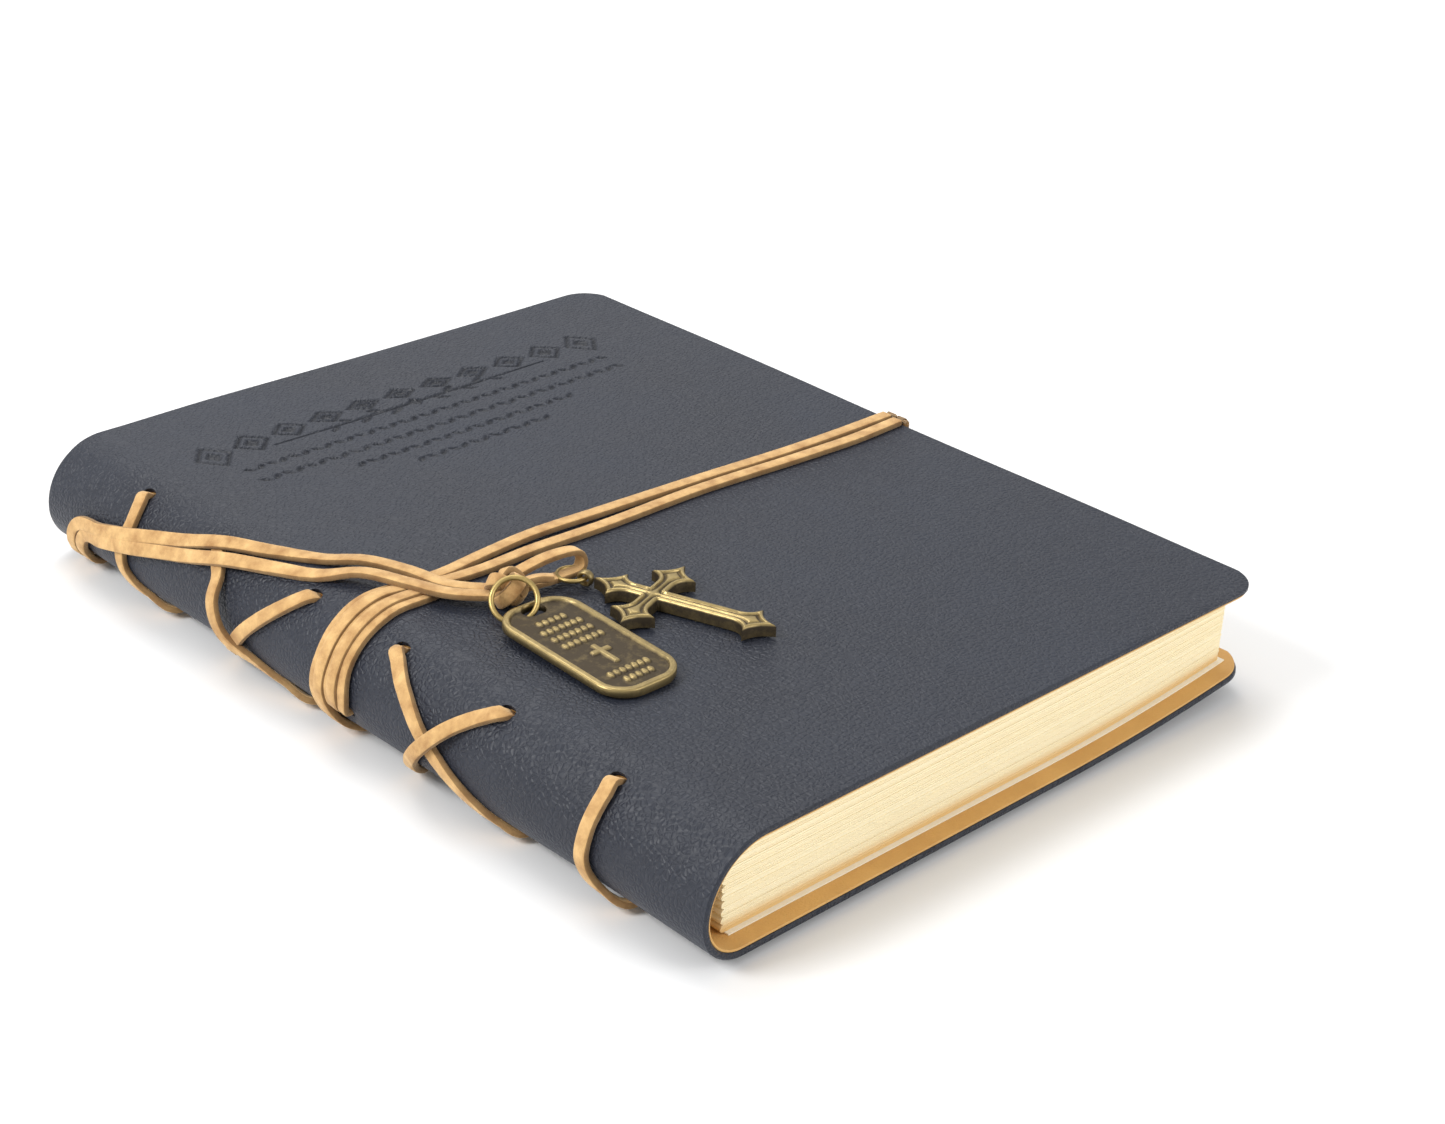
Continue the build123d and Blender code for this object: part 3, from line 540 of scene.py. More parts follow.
def hide_layer(stations, across, outer, inner, inset, corner_t, press=None):
    """Outlines of one layer of the cover between two depths, with soft edges and round far corners.
    stations run along the hide, across gives shares of its half length."""
    soft = min(0.35, 0.3 * (inner - outer))
    outlines = []
    shares = np.asarray(across, float)
    for number, t in enumerate(stations):
        into_corner = abs(t) - abs(corner_t)
        half = HALF_LENGTH - inset
        if into_corner > 0:
            half -= CORNER_R - sqrt(max(CORNER_R ** 2 - into_corner ** 2, 0.0))
        last = number == len(stations) - 1
        top_depth = outer + (soft if last else 0.0)
        low_depth = inner - (soft if last else 0.0)
        y = shares * (half - soft)
        lift = -top_depth * np.ones_like(y)
        if press is not None and not last:
            lift = lift + press(t, y)
        face = on_cover(t, y, lift)
        edge_y = np.array([-half, -half, soft - half, half - soft, half, half])
        edge_lift = -np.array([outer + soft, inner - soft, low_depth, low_depth, inner - soft, outer + soft])
        outlines.append(np.concatenate([face, on_cover(t, edge_y, edge_lift)]))
    return outlines


def joined(name, *meshes):
    """Several meshes as one."""
    work = bmesh.new()
    for mesh in meshes:
        work.from_mesh(mesh)
    whole = bpy.data.meshes.new(name)
    work.to_mesh(whole)
    work.free()
    return whole


def cut_away(name, mesh, cutter_mesh):
    """The mesh with a cutter taken out of it."""
    holder = bpy.data.objects.new(name, mesh)
    cutter = bpy.data.objects.new("cutter", cutter_mesh)
    bpy.context.scene.collection.objects.link(holder)
    bpy.context.scene.collection.objects.link(cutter)
    cut = holder.modifiers.new("cut", "BOOLEAN")
    cut.operation = "DIFFERENCE"
    cut.solver = "EXACT"
    cut.object = cutter
    result = bpy.data.meshes.new_from_object(holder.evaluated_get(bpy.context.evaluated_depsgraph_get()))
    bpy.data.objects.remove(holder)
    bpy.data.objects.remove(cutter)
    return result


print("helpers for skins ready")

# %% [markdown]
# The front cover carries a pressed-in ornament: an arched row of double lozenges, a leafy flourish
# under it and four rows of small leaves. It's real relief, pressed into a fine grid of the hide by
# a height for each point. The same number is kept as a mask, so that the leather is darker there.

# %% The pressed-in ornament
PRESS_DEPTH = 0.45
LOZENGES = 11
LOZENGE_PITCH = 10.3
LOZENGE_HALF_W = 4.6
ARCH_HALF = 51.5
ARCH_TOP = 82.0
LINE_Y = 73.3
LINE_HALF = 38.0
LEAF_PITCH_X = 2.9
# distance up the cover, half length of each row of small leaves
LEAF_ROWS = ((66.2, 50.5), (60.2, 50.5), (54.2, 30.0), (48.4, 17.5))


def inside(distance, soft=0.22):
    """1 inside a shape and 0 outside it, from a distance in mm, with a soft edge."""
    share = np.clip(0.5 - distance / (2 * soft), 0, 1)
    return share * share * (3 - 2 * share)


def leaf_shape(x, y, centre, length, width, turn):
    """Distance to a pointed leaf."""
    c, s = cos(turn), sin(turn)
    u = (x - centre[0]) * c + (y - centre[1]) * s
    v = (y - centre[1]) * c - (x - centre[0]) * s
    rounding = 1 - np.clip(np.abs(u) / length, 0, 1) ** 2
    return np.abs(v) - width * rounding + np.maximum(np.abs(u) - length, 0)


def ornament(x, y):
    """How far the ornament is pressed in at X, Y on the cover, from 0 to 1."""
    pressed = np.zeros_like(x)
    for k in range(LOZENGES):
        cx = LOZENGE_PITCH * k - ARCH_HALF
        half = 2.9 + 2.9 * (cx / ARCH_HALF) ** 2
        cy = ARCH_TOP - half
        edge = min(half, LOZENGE_HALF_W) * 0.72
        reach = (np.abs(x - cx) / LOZENGE_HALF_W + np.abs(y - cy) / half) * edge
        ring = np.maximum(reach - edge, edge - 0.75 - reach)
        pressed = np.maximum(pressed, inside(ring))
        pressed = np.maximum(pressed, inside(reach - edge * 0.42))
    taper = 0.36 * np.sqrt(np.clip(1 - (x / LINE_HALF) ** 2, 0, 1))
    line = np.abs(y - LINE_Y) - taper + np.maximum(np.abs(x) - LINE_HALF, 0)
    pressed = np.maximum(pressed, inside(line))
    pressed = np.maximum(pressed, inside(np.abs(x) + np.abs(y - LINE_Y) - 2.0))
    for side in (-1, 1):
        for k in range(5):
            up = 1 if k % 2 else -1
            centre = (side * (6.0 + 4.2 * k), LINE_Y + 1.35 * up)
            leaf = leaf_shape(x, y, centre, 2.6 - 0.25 * k, 0.75 - 0.06 * k, side * up * radians(28))
            pressed = np.maximum(pressed, inside(leaf))
    number = np.round(x / LEAF_PITCH_X)
    flip = np.where(np.mod(number, 2) > 0.5, -1.0, 1.0)
    for row_y, half_row in LEAF_ROWS:
        shape = leaf_shape(x - number * LEAF_PITCH_X, (y - row_y) * flip, (0.0, 0.0), 1.5, 0.62, radians(38))
        past_end = np.maximum(np.abs(number * LEAF_PITCH_X) - half_row, 0)
        pressed = np.maximum(pressed, inside(shape + 4 * past_end))
    return pressed


def front_press(t, y):
    """Lift of the front cover's face: the ornament, and the gentle unevenness of a soft hide."""
    x = SHOULDER_X - t
    return -PRESS_DEPTH * ornament(np.full_like(y, x), y) + swell(t, y)


def swell(t, y):
    """The soft hide isn't quite flat."""
    fade = np.clip((np.abs(t) - 6.0) / 20.0, 0, 1) * (np.asarray(t) < 0)
    return fade * (0.16 * np.sin(0.045 * t + 0.02 * y) + 0.12 * np.sin(0.061 * y - 0.03 * t + 1.0))


# %% [markdown]
# The front cover's hide is one soft sheet. It's laid
# as rows along the hide, close together where the ornament needs them.

# %% Front cover: leather from the shoulder to the fore-edge
def spaced(*runs):
    """Values over several runs of (from, to, step), each end once."""
    values = [np.array([runs[0][0]])]
    for low, high, step in runs:
        count = max(1, int(round(abs(high - low) / step)))
        values.append(np.linspace(low, high, count + 1)[1:])
    return np.concatenate(values)


EDGE_T = SHOULDER_X - HALF_WIDTH
front_stations = spaced((seam_t, seam_t - 0.02, 0.02), (seam_t - 0.02, -4.5, 0.5), (-4.5, -121.5, 0.38),
                        (-121.5, -132.0, 2.0), (-132.0, -138.6, 0.7), (-138.6, EDGE_T + 0.3, 0.25),
                        (EDGE_T + 0.3, EDGE_T, 0.3))
half_soft = HALF_LENGTH - 0.35
front_across = spaced((half_soft, 83.0, 1.6), (83.0, 46.0, 0.36), (46.0, -half_soft, 1.9)) / half_soft
outlines = hide_layer(front_stations, front_across, 0.0, LEATHER_T, 0.0, EDGE_T + CORNER_R, front_press)
front_mesh = skin("front_leather", outlines)
mask = []
for t in front_stations:
    y = front_across * half_soft
    row = ornament(np.full_like(y, SHOULDER_X - t), y)
    mask.append(np.concatenate([row, np.zeros(6)]))
set_mask(front_mesh, "pressed", np.concatenate(mask))


def bend_over_hinge(piece):
    """Bakes the piece's placement into its mesh; it goes on no body."""
    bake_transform(piece)


front_leather = new_piece("front_leather", front_mesh, leather)
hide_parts("cover_leather_front")
bend_over_hinge(front_leather)

# %% [markdown]
# The rest of the hide runs round the spine and under the book. It dips round each lace hole, where
# the lace pulls, and the holes are cut through it.

# %% Spine and back cover: dimpled where the laces go through
LACE_HOLES = ((7.82, 73.0), (7.82, 45.0), (7.82, 15.0), (7.82, -12.5), (7.82, -43.0), (7.82, -72.5),
              (33.97, 61.0), (33.97, 12.0), (33.97, 39.0), (33.97, -50.0), (33.97, -20.0), (33.97, -79.0),
              (33.97, 96.5), (33.97, 91.5), (25.4, 0.0), (25.4, -2.0), (25.4, -4.0))


def spine_press(t, y):
    """The hide dips round each hole, and is slack between them."""
    lift = np.zeros_like(y)
    for hole_t, hole_y in LACE_HOLES:
        if abs(t - hole_t) < 7:
            lift = lift - 0.42 * np.exp(-((t - hole_t) ** 2 / 5.0 + (y - hole_y) ** 2 / 7.0))
    on_spine = np.clip((t - 6.0) / 6.0, 0, 1) * np.clip((HEEL_END - t) / 10.0, 0, 1)
    return lift + on_spine * (0.14 * np.sin(0.11 * y + 0.5) - 0.14)


BACK_EDGE_T = HEEL_END + (CURL_X - HEEL_X) + CURL_R * asin((HALF_WIDTH - CURL_X) / CURL_R)
back_stations = spaced((seam_t, seam_t + 0.02, 0.02), (seam_t + 0.02, HEEL_END, 0.6),
                       (HEEL_END, BACK_EDGE_T - 9, 2.6), (BACK_EDGE_T - 9, BACK_EDGE_T - 1.4, 0.8),
                       (BACK_EDGE_T - 1.4, BACK_EDGE_T - 0.3, 0.25), (BACK_EDGE_T - 0.3, BACK_EDGE_T, 0.3))
back_across = np.linspace(1, -1, 161)
# distance along, distance up the spine, half sizes of each hole
CUT_HOLES = [(6.95 if t < 10 else 34.75, y, 1.2, 1.9) for t, y in LACE_HOLES[:14]] + [(25.9, -1.9, 1.1, 3.4)]


def hole_cutter(t, y, half_t, half_y):
    """A long round cutter through the cover."""
    ring = [2 * pi * k / 24 for k in range(24)]
    outlines = [on_cover([t + half_t * cos(a) for a in ring], [y + half_y * sin(a) for a in ring],
                         np.full(24, lift)) for lift in (1.5, -2.4)]
    return skin("hole", outlines)


hole_cutters = joined("holes", *[hole_cutter(*hole) for hole in CUT_HOLES])
outlines = hide_layer(back_stations, back_across, 0.0, LEATHER_T, 0.0, BACK_EDGE_T - CORNER_R, spine_press)
back_hide = skin("spine_leather", outlines)
back_hide = tidy(cut_away("spine_leather", back_hide, hole_cutters.copy()))
spine_leather = new_piece("spine_leather", back_hide, leather, SPINE_BODY)
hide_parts("cover_leather_wrap")

# %% [markdown]
# The linings follow the same line, one thickness further in and a little short of the edges, so
# the cut edge of the hide shows round them.

# %% Linings, glued inside the hide
LINING_INSET = 0.4
lining_depth = LEATHER_T + LINING_T
slim_across = np.linspace(1, -1, 41)
front_edge = EDGE_T + LINING_INSET
front_lining_stations = spaced((seam_t, -10.0, 0.6), (-10.0, -130.0, 6.0), (-130.0, -138.0, 1.0),
                               (-138.0, front_edge + 0.1, 0.3), (front_edge + 0.1, front_edge, 0.1))
outlines = hide_layer(front_lining_stations, slim_across, LEATHER_T, lining_depth, LINING_INSET,
                      EDGE_T + CORNER_R)
front_lining = new_piece("front_lining", skin("front_lining", outlines), lining)
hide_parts("cover_lining_front")
bend_over_hinge(front_lining)
back_edge = BACK_EDGE_T - LINING_INSET
back_lining_stations = spaced((seam_t, HEEL_END, 0.8), (HEEL_END, back_edge - 9, 4.0),
                              (back_edge - 9, back_edge - 1.2, 0.9), (back_edge - 1.2, back_edge - 0.1, 0.3),
                              (back_edge - 0.1, back_edge, 0.1))
outlines = hide_layer(back_lining_stations, slim_across, LEATHER_T, lining_depth, LINING_INSET,
                      BACK_EDGE_T - CORNER_R)
back_lining_mesh = tidy(cut_away("back_lining", skin("back_lining", outlines), hole_cutters))
back_lining = new_piece("back_lining", back_lining_mesh, lining, SPINE_BODY)
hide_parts("cover_lining_wrap")

# %% [markdown]
# Thin leaves repeat all through the block, so Geometry Nodes make them: one thin sheet is repeated up
# a line, each with its own small play at the edges, then every point is moved to follow the lift of
# the back cover and to round the folds of each gathering. A turning gathering is a second object
# from the same tree.

# %% Geometry Nodes: leaves of the block
LEAF_INPUTS = [("Leaves", "Int", 8), ("First", "Float", 0.0), ("Pitch", "Float", 0.0002),
               ("Paper", "Float", 0.00019), ("Back", "Float", -0.0675), ("Edge", "Float", 0.072),
               ("Half Length", "Float", 0.0975),
               ("Lift Start", "Float", 0.015), ("Lift Radius", "Float", 0.53), ("Block Low", "Float", 0.0),
               ("Block Height", "Float", 0.019), ("Gathering", "Float", 0.0016), ("Fold", "Float", 0.0007),
               ("Play", "Float", 0.0008), ("Seed", "Int", 1), ("Finish", "Material", None)]


def block_tree():
    """Leaves repeated up the block."""
    tree, ins, outs = new_group("leaves_of_the_block", "GeometryNodeTree", LEAF_INPUTS,
                                [("Geometry", "Geometry")])
    length = sum_up(tree, "SUBTRACT", ins["Edge"], ins["Back"])
    size = put(tree, "ShaderNodeCombineXYZ", {0: length, 1: sum_up(tree, "MULTIPLY", ins["Half Length"], 2.0),
                                              2: ins["Paper"]})
    leaf = put(tree, "GeometryNodeMeshCube", {"Size": size.outputs[0], "Vertices X": 36})
    middle = sum_up(tree, "MULTIPLY", sum_up(tree, "ADD", ins["Edge"], ins["Back"]), 0.5)
    start = put(tree, "ShaderNodeCombineXYZ", {0: middle, 2: ins["First"]})
    step = put(tree, "ShaderNodeCombineXYZ", {2: ins["Pitch"]})
    line = put(tree, "GeometryNodeMeshLine", {"Count": ins["Leaves"], "Start Location": start.outputs[0],
                                              "Offset": step.outputs[0]}, mode="OFFSET")
    least = put(tree, "ShaderNodeCombineXYZ", {0: sum_up(tree, "SUBTRACT", 1.0, ins["Play"]),
                                               1: sum_up(tree, "SUBTRACT", 1.0, ins["Play"]), 2: 1.0})
    play = put(tree, "FunctionNodeRandomValue", {"Seed": ins["Seed"]}, data_type="FLOAT_VECTOR")
    tree.links.new(least.outputs[0], play.inputs[0])
    play.inputs[1].default_value = (1.0, 1.0, 1.0)
    leaves = put(tree, "GeometryNodeInstanceOnPoints",
                 {"Points": line.outputs[0], "Instance": leaf.outputs[0], "Scale": play.outputs[0]})
    tone = put(tree, "FunctionNodeRandomValue", {"Seed": ins["Seed"]}, data_type="FLOAT")
    toned = put(tree, "GeometryNodeStoreNamedAttribute",
                {"Geometry": leaves.outputs[0], "Name": "tone", "Value": tone.outputs[1]},
                data_type="FLOAT", domain="INSTANCE")
    loose = put(tree, "GeometryNodeRealizeInstances", {0: toned.outputs[0]})
    here = put(tree, "ShaderNodeSeparateXYZ", {0: put(tree, "GeometryNodeInputPosition").outputs[0]})
    up = sum_up(tree, "SUBTRACT", here.outputs[2], ins["Block Low"])
    share = sum_up(tree, "DIVIDE", up, ins["Block Height"])
    beyond = sum_up(tree, "MAXIMUM", sum_up(tree, "SUBTRACT", here.outputs[0], ins["Lift Start"]), 0.0)
    squared = sum_up(tree, "MULTIPLY", beyond, beyond)
    rise = sum_up(tree, "DIVIDE", squared, sum_up(tree, "MULTIPLY", ins["Lift Radius"], 2.0))
    lift = sum_up(tree, "MULTIPLY", rise, sum_up(tree, "SUBTRACT", 1.0, share))
    part = sum_up(tree, "FRACT", sum_up(tree, "DIVIDE", up, ins["Gathering"]))
    across = sum_up(tree, "MULTIPLY_ADD", part, 2.0, -1.0)
    left = sum_up(tree, "SUBTRACT", 1.0, sum_up(tree, "MULTIPLY", across, across), clamp=True)
    round_off = sum_up(tree, "SUBTRACT", 1.0, sum_up(tree, "SQRT", left))
    near_back = sum_up(tree, "LESS_THAN", here.outputs[0], sum_up(tree, "ADD", ins["Back"], 0.001))
    inward = sum_up(tree, "MULTIPLY", sum_up(tree, "MULTIPLY", round_off, ins["Fold"]), near_back)
    move = put(tree, "ShaderNodeCombineXYZ", {0: inward, 2: lift})
    placed = put(tree, "GeometryNodeSetPosition", {"Offset": move.outputs[0]})
    marked = put(tree, "GeometryNodeStoreNamedAttribute",
                 {"Geometry": loose.outputs[0], "Name": "share", "Value": share},
                 data_type="FLOAT", domain="POINT")
    tree.links.new(marked.outputs[0], placed.inputs["Geometry"])
    finish = put(tree, "GeometryNodeSetMaterial", {"Geometry": placed.outputs[0], "Material": ins["Finish"]})
    tree.links.new(finish.outputs[0], outs["Geometry"])
    return tree


def run_nodes(name, tree, values, start_mesh=None):
    """A plain mesh from a node tree with these values for its named inputs."""
    holder = bpy.data.objects.new(name, start_mesh or bpy.data.meshes.new(name))
    bpy.context.scene.collection.objects.link(holder)
    modifier = holder.modifiers.new("nodes", "NODES")
    modifier.node_group = tree
    sockets = {item.name: item.identifier for item in tree.interface.items_tree if item.in_out == "INPUT"}
    for key, value in values.items():
        modifier[sockets[key]] = value
    evaluated = holder.evaluated_get(bpy.context.evaluated_depsgraph_get())
    mesh = bpy.data.meshes.new_from_object(evaluated)
    bpy.data.objects.remove(holder)
    return mesh


leaves_tree = block_tree()
print("tree", leaves_tree.name, len(leaves_tree.nodes), "nodes")

# %% [markdown]
# Twelve gatherings of eight leaves make the block. Ten stay with the back cover, and the upper two
# are pieces of their own.

# %% The block: ten gatherings stay, two are pieces of their own
BLOCK_LOW = 3.55
BLOCK_TOP = 22.8
GATHERING_T = (BLOCK_TOP - BLOCK_LOW) / 12
LEAVES_EACH = 8
LEAF_PITCH = GATHERING_T / LEAVES_EACH


def gatherings(name, first, count, back, body, nodes, seed):
    """Some of the gatherings of the block as one piece."""
    values = {"Leaves": count * LEAVES_EACH, "First": (BLOCK_LOW + first * GATHERING_T + LEAF_PITCH / 2) * MM,
              "Pitch": LEAF_PITCH * MM, "Paper": LEAF_PITCH * 0.97 * MM, "Back": back * MM, "Edge": 0.072,
              "Half Length": 0.0975, "Lift Start": CURL_X * MM, "Lift Radius": CURL_R * MM,
              "Block Low": BLOCK_LOW * MM, "Block Height": (BLOCK_TOP - BLOCK_LOW) * MM,
              "Gathering": GATHERING_T * MM, "Fold": 0.0009, "Play": 0.0022, "Seed": seed, "Finish": pages}
    piece = new_piece(name, run_nodes(name, leaves_tree, values), pages)
    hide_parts(*nodes)
    if body == SPINE_BODY:
        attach(piece, body)
    else:
        bend_over_hinge(piece)
    return piece


staying = [f"signature_{k:02d}" for k in range(1, 11)]
lower_turning = ["signature_11_fold", "signature_11_leaves"]
upper_turning = ["signature_12_fold", "signature_12_leaves"]
gatherings("page_block", 0, 10, -68.2, SPINE_BODY, staying, 3)
gatherings("lower_turning_leaves", 10, 1, -67.4, "lower_leaves", lower_turning, 4)
gatherings("upper_turning_leaves", 11, 1, -65.6, "upper_leaves", upper_turning, 5)

# %% [markdown]
# A flyleaf is one sheet of heavier, whiter paper at each end of the block. The sewing thread keeps
# the mesh of its solid, because it's a plain round thread, and only gets its finish.

# %% Flyleaves and thread
def sheet_outlines(points, thickness, half_length):
    """Outlines of a sheet along X, Z points, from its underside up."""
    outlines = []
    for x, z in points:
        high = z + thickness
        outlines.append([(x, half_length, z), (x, half_length, high), (x, -half_length, high),
                         (x, -half_length, z)])
    return outlines


front_sheet = [(x, 22.87) for x in spaced((-66.4, -50.0, 0.7), (-50.0, 72.3, 8.0))]
front_paper = skin("front_flyleaf_sheet", sheet_outlines(front_sheet, 0.28, 97.8))
front_flyleaf = new_piece("front_flyleaf_sheet", front_paper, flyleaf_paper)
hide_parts("front_flyleaf")
bend_over_hinge(front_flyleaf)
back_sheet = []
for x in spaced((-67.0, 15.0, 6.0), (15.0, 73.0, 2.0)):
    lift = max(x - CURL_X, 0.0) ** 2 / (2 * CURL_R)
    back_sheet.append((x, 3.27 + lift))
back_paper = skin("back_flyleaf_sheet", sheet_outlines(back_sheet, 0.27, 98.3))
back_flyleaf = new_piece("back_flyleaf_sheet", back_paper, flyleaf_paper, SPINE_BODY)
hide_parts("back_flyleaf")
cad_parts["sewing_thread"].material_slots[0].material = thread_finish
print("flyleaves and thread dressed")

# %% [markdown]
# Laces and tie are one kind of thing: flat suede cut from a hide. A path with a direction for its
# flat side is turned into a curve, and a small rounded rectangle follows it. Each strand is drawn
# on the flat hide first, as distance along it and distance up the spine, and then laid on the cover.

# %% Geometry Nodes: a flat suede strap along a path
STRAP_ROUND = 0.42
STRAP_INPUTS = [("Geometry", "Geometry", None), ("Width", "Float", 0.003), ("Thickness", "Float", 0.0014),
                ("Round", "Float", 0.0004), ("Nap", "Float", 0.0002), ("Seed", "Float", 0.0),
                ("Finish", "Material", None)]


def strap_tree():
    """A rounded flat section swept along a path, with the path's own upward direction."""
    tree, ins, outs = new_group("suede_strap", "GeometryNodeTree", STRAP_INPUTS, [("Geometry", "Geometry")])
    stored = put(tree, "GeometryNodeInputNamedAttribute", {"Name": "facing"}, data_type="FLOAT_VECTOR")
    facing = stored.outputs[0]
    line = put(tree, "GeometryNodeMeshToCurve", {0: ins["Geometry"]})
    turned = put(tree, "GeometryNodeSetCurveNormal", {0: line.outputs[0]}, mode="FREE")
    tree.links.new(facing, turned.inputs["Normal"])
    section = put(tree, "GeometryNodeCurvePrimitiveQuadrilateral",
                  {"Width": ins["Thickness"], "Height": ins["Width"]}, mode="RECTANGLE")
    rounded = put(tree, "GeometryNodeFilletCurve",
                  {"Curve": section.outputs[0], "Count": 2, "Radius": ins["Round"]}, mode="POLY")
    swept = put(tree, "GeometryNodeCurveToMesh",
                {"Curve": turned.outputs[0], "Profile Curve": rounded.outputs[0], "Fill Caps": True})
    side = put(tree, "ShaderNodeVectorMath", {0: put(tree, "GeometryNodeInputNormal").outputs[0], 1: facing},
               operation="DOT_PRODUCT")
    cut = sum_up(tree, "LESS_THAN", sum_up(tree, "ABSOLUTE", side.outputs["Value"]), 0.5)
    masked = put(tree, "GeometryNodeStoreNamedAttribute",
                 {"Geometry": swept.outputs[0], "Name": "cut", "Value": cut},
                 data_type="FLOAT", domain="FACE")
    here = put(tree, "GeometryNodeInputPosition").outputs[0]
    nap = put(tree, "ShaderNodeTexNoise", {"Vector": here, "W": ins["Seed"], "Scale": 1500.0, "Detail": 3.0},
              noise_dimensions="4D")
    centred = put(tree, "ShaderNodeVectorMath", {0: nap.outputs["Color"], 1: (0.5, 0.5, 0.5)},
                  operation="SUBTRACT")
    push = put(tree, "ShaderNodeVectorMath", {0: centred.outputs[0], 3: ins["Nap"]}, operation="SCALE")
    rough = put(tree, "GeometryNodeSetPosition", {"Geometry": masked.outputs[0], "Offset": push.outputs[0]})
    smooth = put(tree, "GeometryNodeSetShadeSmooth", {0: rough.outputs[0]})
    loose = put(tree, "GeometryNodeRealizeInstances", {0: smooth.outputs[0]})
    finish = put(tree, "GeometryNodeSetMaterial", {"Geometry": loose.outputs[0], "Material": ins["Finish"]})
    tree.links.new(finish.outputs[0], outs["Geometry"])
    return tree


straps_tree = strap_tree()
print("tree", straps_tree.name, len(straps_tree.nodes), "nodes")


# %% [markdown]
# A strap's route is a few given points. They are joined by a smooth curve, moved onto the hide,
# and given the side that faces out, so that the strap lies flat all along.

# %% Helpers: a smooth route, laid on the cover
def smooth_route(points, step=0.55):
    """A smooth line through points of any number of values, with samples about a step apart."""
    p = np.asarray(points, float)
    gaps = np.maximum(np.linalg.norm(np.diff(p, axis=0), axis=1), 1e-6)
    slopes = np.diff(p, axis=0) / gaps[:, None]
    tangents = np.empty_like(p)
    tangents[0], tangents[-1] = slopes[0], slopes[-1]
    before, after = gaps[:-1, None], gaps[1:, None]
    tangents[1:-1] = (slopes[:-1] * after + slopes[1:] * before) / (before + after)
    rows = []
    for k, gap in enumerate(gaps):
        count = max(2, int(round(gap / step)))
        u = np.linspace(0, 1, count, endpoint=False)[:, None]
        rows.append((2 * u ** 3 - 3 * u ** 2 + 1) * p[k] + (u ** 3 - 2 * u ** 2 + u) * gap * tangents[k]
                    + (3 * u ** 2 - 2 * u ** 3) * p[k + 1] + (u ** 3 - u ** 2) * gap * tangents[k + 1])
    return np.vstack(rows + [p[-1:]])


def laid(route):
    """Points of a route of (along, up the spine, lift) on the cover, and the strap's sideways direction."""
    fine = smooth_route(route)
    place, along, out = cover_frame(fine[:, 0], fine[:, 1])
    points = place + out * (fine[:, 2] + swell(fine[:, 0], fine[:, 1]))[:, None]
    run = np.gradient(fine[:, :2], axis=0)
    run /= np.maximum(np.linalg.norm(run, axis=1), 1e-9)[:, None]
    travel = along * run[:, :1] + np.array([0.0, 1.0, 0.0]) * run[:, 1:]
    return points, np.cross(out, travel)


def facing_of(points, sideways):
    """Which way the flat side of a strap faces."""
    travel = np.gradient(points, axis=0)
    travel /= np.linalg.norm(travel, axis=1)[:, None]
    facing = np.cross(travel, sideways)
    return facing / np.linalg.norm(facing, axis=1)[:, None]


def strap_mesh(name, lines, width=3.0, thickness=1.4, seed=0.0, nap=0.15):
    """A mesh of one or more straps. Each line is its points in mm and the way its flat side faces."""
    places, facings, edges = [], [], []
    for points, facing in lines:
        first = len(places)
        places += (np.asarray(points) * MM).tolist()
        facings += np.asarray(facing).tolist()
        edges += [(first + k, first + k + 1) for k in range(len(points) - 1)]
    path = bpy.data.meshes.new(name)
    path.from_pydata(places, edges, [])
    ways = path.attributes.new("facing", "FLOAT_VECTOR", "POINT")
    ways.data.foreach_set("vector", np.asarray(facings, np.float32).ravel())
    values = {"Width": width * MM, "Thickness": thickness * MM, "Round": STRAP_ROUND * MM, "Nap": nap * MM,
              "Seed": seed, "Finish": suede}
    return tidy(run_nodes(name, straps_tree, values, path), 60.0)


def laid_strap(name, routes, nodes, body=SPINE_BODY, **sizes):
    """Straps on the cover as one piece, attached to the spine's body or else left on no body."""
    lines = []
    for route in routes:
        points, sideways = laid(route)
        lines.append((points, facing_of(points, sideways)))
    piece = new_piece(name, strap_mesh(name, lines, **sizes), suede)
    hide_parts(*nodes)
    if body == SPINE_BODY:
        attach(piece, body)
    else:
        bend_over_hinge(piece)
    return piece


FLAT = 0.72      # lift of the middle of a strap that lies on the hide
OVER = 1.42      # and what it gains where it lies on another


# %% [markdown]
# Six laces run out of holes at the shoulder, over the spine and in again at the heel. They cross in
# two pairs, and the upper one of a pair lifts over the other.

# %% Six laces through the spine
def lace_route(top_y, middle, low_y, raised=()):
    """Out of the shoulder hole, over the spine and into the heel hole. raised holds the distances
    along where the lace passes over another."""
    first, last = middle[0], middle[-1]
    top_run = 1 if first[1] > top_y else -1
    low_run = 1 if low_y > last[1] else -1
    route = [(7.0, top_y - 0.35 * top_run, -2.6), (7.3, top_y - 0.2 * top_run, -0.9), (8.1, top_y, 0.45)]
    for t, y in middle:
        over = any(low <= t <= high for low, high in raised)
        route.append((t, y, FLAT + (OVER if over else 0.0)))
    route += [(33.0, low_y - 0.25 * low_run, 0.6), (34.1, low_y, -0.5), (34.6, low_y + 0.2 * low_run, -2.4)]
    return route


